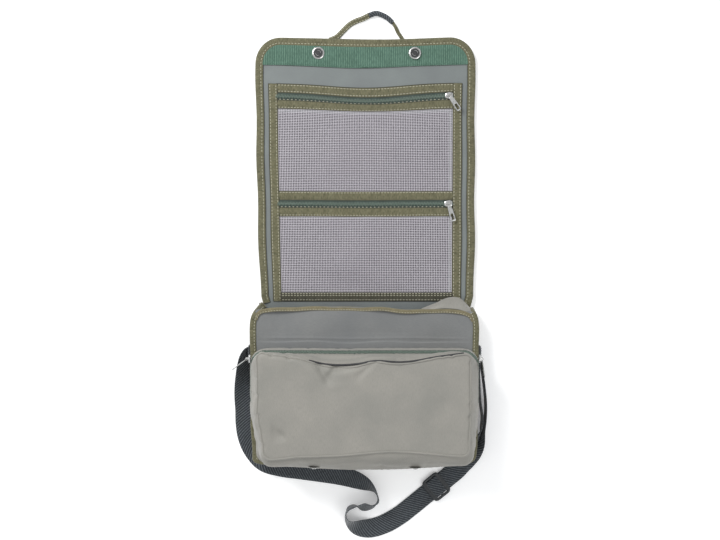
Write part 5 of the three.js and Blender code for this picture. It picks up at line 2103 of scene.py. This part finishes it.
@dataclass
class Strap:
    """The shoulder strap: one webbing laid on the table, its return run and its adjuster."""

    frame: dict[str, Any]
    finishes: Finishes
    width: float = 25 * MM
    thick: float = 1.6 * MM
    adjuster_stop: int = 32
    route: tuple[Stop, ...] = (
        (-149.8, 51, 3.5, -90), (-153.4, 47, 3.2, -82), (-156, 39, 2.6, -68), (-157.4, 27, 1.8, -54),
        (-158, 13, 0.8, -40), (-158.4, 0, 0.3, -24), (-158.8, -16, 0.2, -8), (-158, -34, 0.2, 0),
        (-157.5, -52, 0.2, 0), (-154.5, -70, 0.2, 0),
        (-147, -87, 0.2, 0), (-133, -102.5, 0.2, 0), (-111, -109.5, 0.2, 0), (-86, -113, 0.2, 0),
        (-60, -116.5, 0.2, 0), (-36, -120, 0.2, 0), (-16, -124.5, 0.2, 12), (2, -131.5, 0.2, 40),
        (14.5, -141, 0.2, 80), (17.5, -151, 0.2, 90), (10.5, -158.5, 0.2, 110), (-1, -159.5, 0.2, 125),
        (-13, -158, 0.2, 95), (-21.5, -161.5, 0.2, 90), (-24.5, -169.5, 0.2, 90), (-21, -179.5, 0.2, 65),
        (-10, -187.5, 0.2, 27), (6, -190, 0.2, 4), (25, -185, 0.2, 0), (45, -174, 0.2, 0),
        (62, -161, 0.2, 0),
        (78, -148, 0.2, 0), (94.5, -134.7, 0.2, 0), (111, -121.3, 0.2, 0), (125, -109, 0.2, 0),
        (138.5, -93.5, 0.2, -20), (148.5, -77, 0.2, -55), (154.5, -60, 0.3, -85), (157.5, -42, 0.5, -90),
        (157.7, -22, 1.2, -90), (155.8, -2, 2.2, -90), (153.5, 16, 3, -90), (151.7, 31.6, 3.5, -90))
    back_route: tuple[Stop, ...] = (
        (103, -128, 2.4, 0), (109, -123, 2.4, 0), (125, -109, 2.7, 0), (137.4, -92.8, 3, -20),
        (146.3, -75.9, 1.6, -55), (151.6, -59.5, 0.5, -85), (153.8, -42, 0.5, -90), (151, -22, 1.2, -90),
        (149.6, -2, 2.2, -90), (149.1, 16, 3, -90), (149.4, 31.6, 3.5, -90))

    def webbing(self, name: str, node: str, route: Sequence[Stop]) -> tuple[Piece, Line]:
        """One run of webbing.

        Args:
            name: The piece's name.
            node: The CAD node that it stands for.
            route: Its stops.

        Returns:
            The piece and its middle line.
        """
        line = band_line(route, self.width, self.thick, 12)
        skin = Skin()
        skin.sweep(line, tape_section(self.width, self.thick - 0.1 * MM, 10) - [0, self.thick / 2])
        return settle(skin.piece(name, self.finishes.charcoal), [node], "pouch"), line

    def adjuster(self) -> tuple[Piece, Piece]:
        """The adjuster's moulded frame and the webbing that arches over its middle bar."""
        low, high = corners("strap_adjuster")
        centre = np.array([*self.route[self.adjuster_stop][:2], 0.0]) * MM
        before = np.array([*self.route[self.adjuster_stop - 1][:2], 0.0]) * MM
        run = unit(centre - before)
        side = np.cross(UP, run)
        level = (low[2] + high[2]) / 2
        turn = np.linspace(0, 2 * math.pi, 72, endpoint=False)
        a = np.abs(np.cos(turn)) ** 0.3 * np.sign(np.cos(turn)) * 11.9 * MM
        b = np.abs(np.sin(turn)) ** 0.3 * np.sign(np.sin(turn)) * 14.6 * MM
        loop = centre + a[:, None] * run + b[:, None] * side + UP * level
        section = np.array([(-1.7, -0.9), (-1.2, -1.3), (1.0, -1.3), (1.5, -0.9), (1.5, 0.8), (0.9, 1.3),
                            (-1.0, 1.35),
                            (-1.7, 0.8)]) * MM
        skin = Skin()
        skin.sweep(Line.through(loop, closed=True), section, closed=True)
        for place, rise in ((0.0, -0.1), (-9.4, 0.5), (9.4, 0.5)):
            ends = centre + run * place * MM + UP * (level + rise * MM)
            bar = Line.through(ends + side * np.linspace(-13.6, 13.6, 9)[:, None] * MM)
            skin.sweep(bar, section * [1.15, 0.85])
        frame = skin.piece("strap_adjuster_moulded", self.finishes.plastic, sharp=50.0)
        settle(frame, ["strap_adjuster"], "pouch")
        arch = np.linspace(-1, 1, 17)
        line = Line.through(centre + run * (arch[:, None] * 8.6 * MM)
                            + UP * (level + (1.9 * np.cos(arch * 1.5) - 0.2)[:, None] * MM))
        skin = Skin()
        skin.sweep(line, tape_section(self.width - 1.5 * MM, 1.2 * MM, 8))
        web = settle(skin.piece("strap_adjuster_web", self.finishes.charcoal), (),
                     "pouch")
        return frame, web

    def build(self) -> list[Piece]:
        """Makes the strap.

        Returns:
            The pieces.
        """
        strap, line = self.webbing("shoulder_strap", "strap_webbing", self.route)
        back, back_line = self.webbing("shoulder_strap_return", "strap_return", self.back_route[::-1])
        frame, web = self.adjuster()
        float(line.run()[-1])
        line.at[::3].tolist() + [line.at[-1].tolist()]
        float(back_line.run()[-1])
        back_line.at[::3].tolist() + [back_line.at[-1].tolist()]
        return [strap, back, frame, web]


# ---- Studio ----


@dataclass(frozen=True)
class Studio:
    """Camera straight above the bag, white table and soft light."""

    eye: tuple[float, float, float] = (-0.00594, 0.1505, 1.32)
    lens: float = 50.0
    sensor: float = 36.0

    def camera(self) -> None:
        """Places the camera."""
        data = bpy.data.cameras.new("above")
        data.lens = self.lens
        data.sensor_width = self.sensor
        data.clip_start = 0.05
        camera = bpy.data.objects.new("above", data)
        camera.location = self.eye
        bpy.context.scene.collection.objects.link(camera)
        bpy.context.scene.camera = camera

    def lamp(self, name: str, place: tuple[float, float, float], size: float, power: float) -> None:
        """Adds a square soft light that faces the bag.

        Args:
            name: Its name.
            place: Where it stands.
            size: Its side.
            power: In watts.
        """
        data = bpy.data.lights.new(name, "AREA")
        data.shape = "SQUARE"
        data.size = size
        data.energy = power
        lamp = bpy.data.objects.new(name, data)
        lamp.location = place
        aim = Vector((0.0, 0.16, 0.02)) - Vector(place)
        lamp.rotation_euler = aim.to_track_quat("-Z", "Y").to_euler()
        bpy.context.scene.collection.objects.link(lamp)

    def light(self) -> None:
        """Adds the lights, the bright surroundings and the table."""
        self.lamp("key", (-1.0, 1.2, 1.3), 0.7, 30.0)
        self.lamp("fill", (1.1, -0.7, 1.4), 1.2, 9.0)
        world = bpy.data.worlds.new("surroundings")
        world.use_nodes = True
        background = world.node_tree.nodes["Background"]
        background.inputs["Color"].default_value = (0.97, 0.985, 1.0, 1.0)
        background.inputs["Strength"].default_value = 0.68
        bpy.context.scene.world = world
        bpy.context.scene.view_settings.view_transform = "Standard"
        graph = Graph("table")
        table = graph.finish({"Base Color": (0.93, 0.93, 0.93, 1.0), "Roughness": 0.9,
                              "Emission Color": (1.0, 1.0, 1.0, 1.0), "Emission Strength": 0.2})
        bpy.ops.mesh.primitive_plane_add(size=6.0, location=(0.0, 0.15, -0.0004))
        floor = bpy.context.active_object
        floor.name = "table"
        floor.data.materials.append(table)


def main() -> None:
    """Builds the bag's pieces over the frame, in order, and the studio round them."""
    logging.basicConfig(level=logging.INFO, format="%(message)s")
    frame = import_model()
    Studio().camera()
    finishes = Finishes.build()
    form = FlapForm(frame)
    makers = [Strap(frame, finishes), Pouch(frame, finishes), Compartment(form, finishes),
              FlapPanels(form, finishes),
              NetPockets(form, finishes), FlapEnd(form, finishes), ZipPulls(frame, finishes)]
    for maker in makers:
        for piece in maker.build():
            LOG.info("%s: %d faces", piece.name, len(piece.data.polygons))
    Studio().light()


if __name__ == "__main__":
    main()
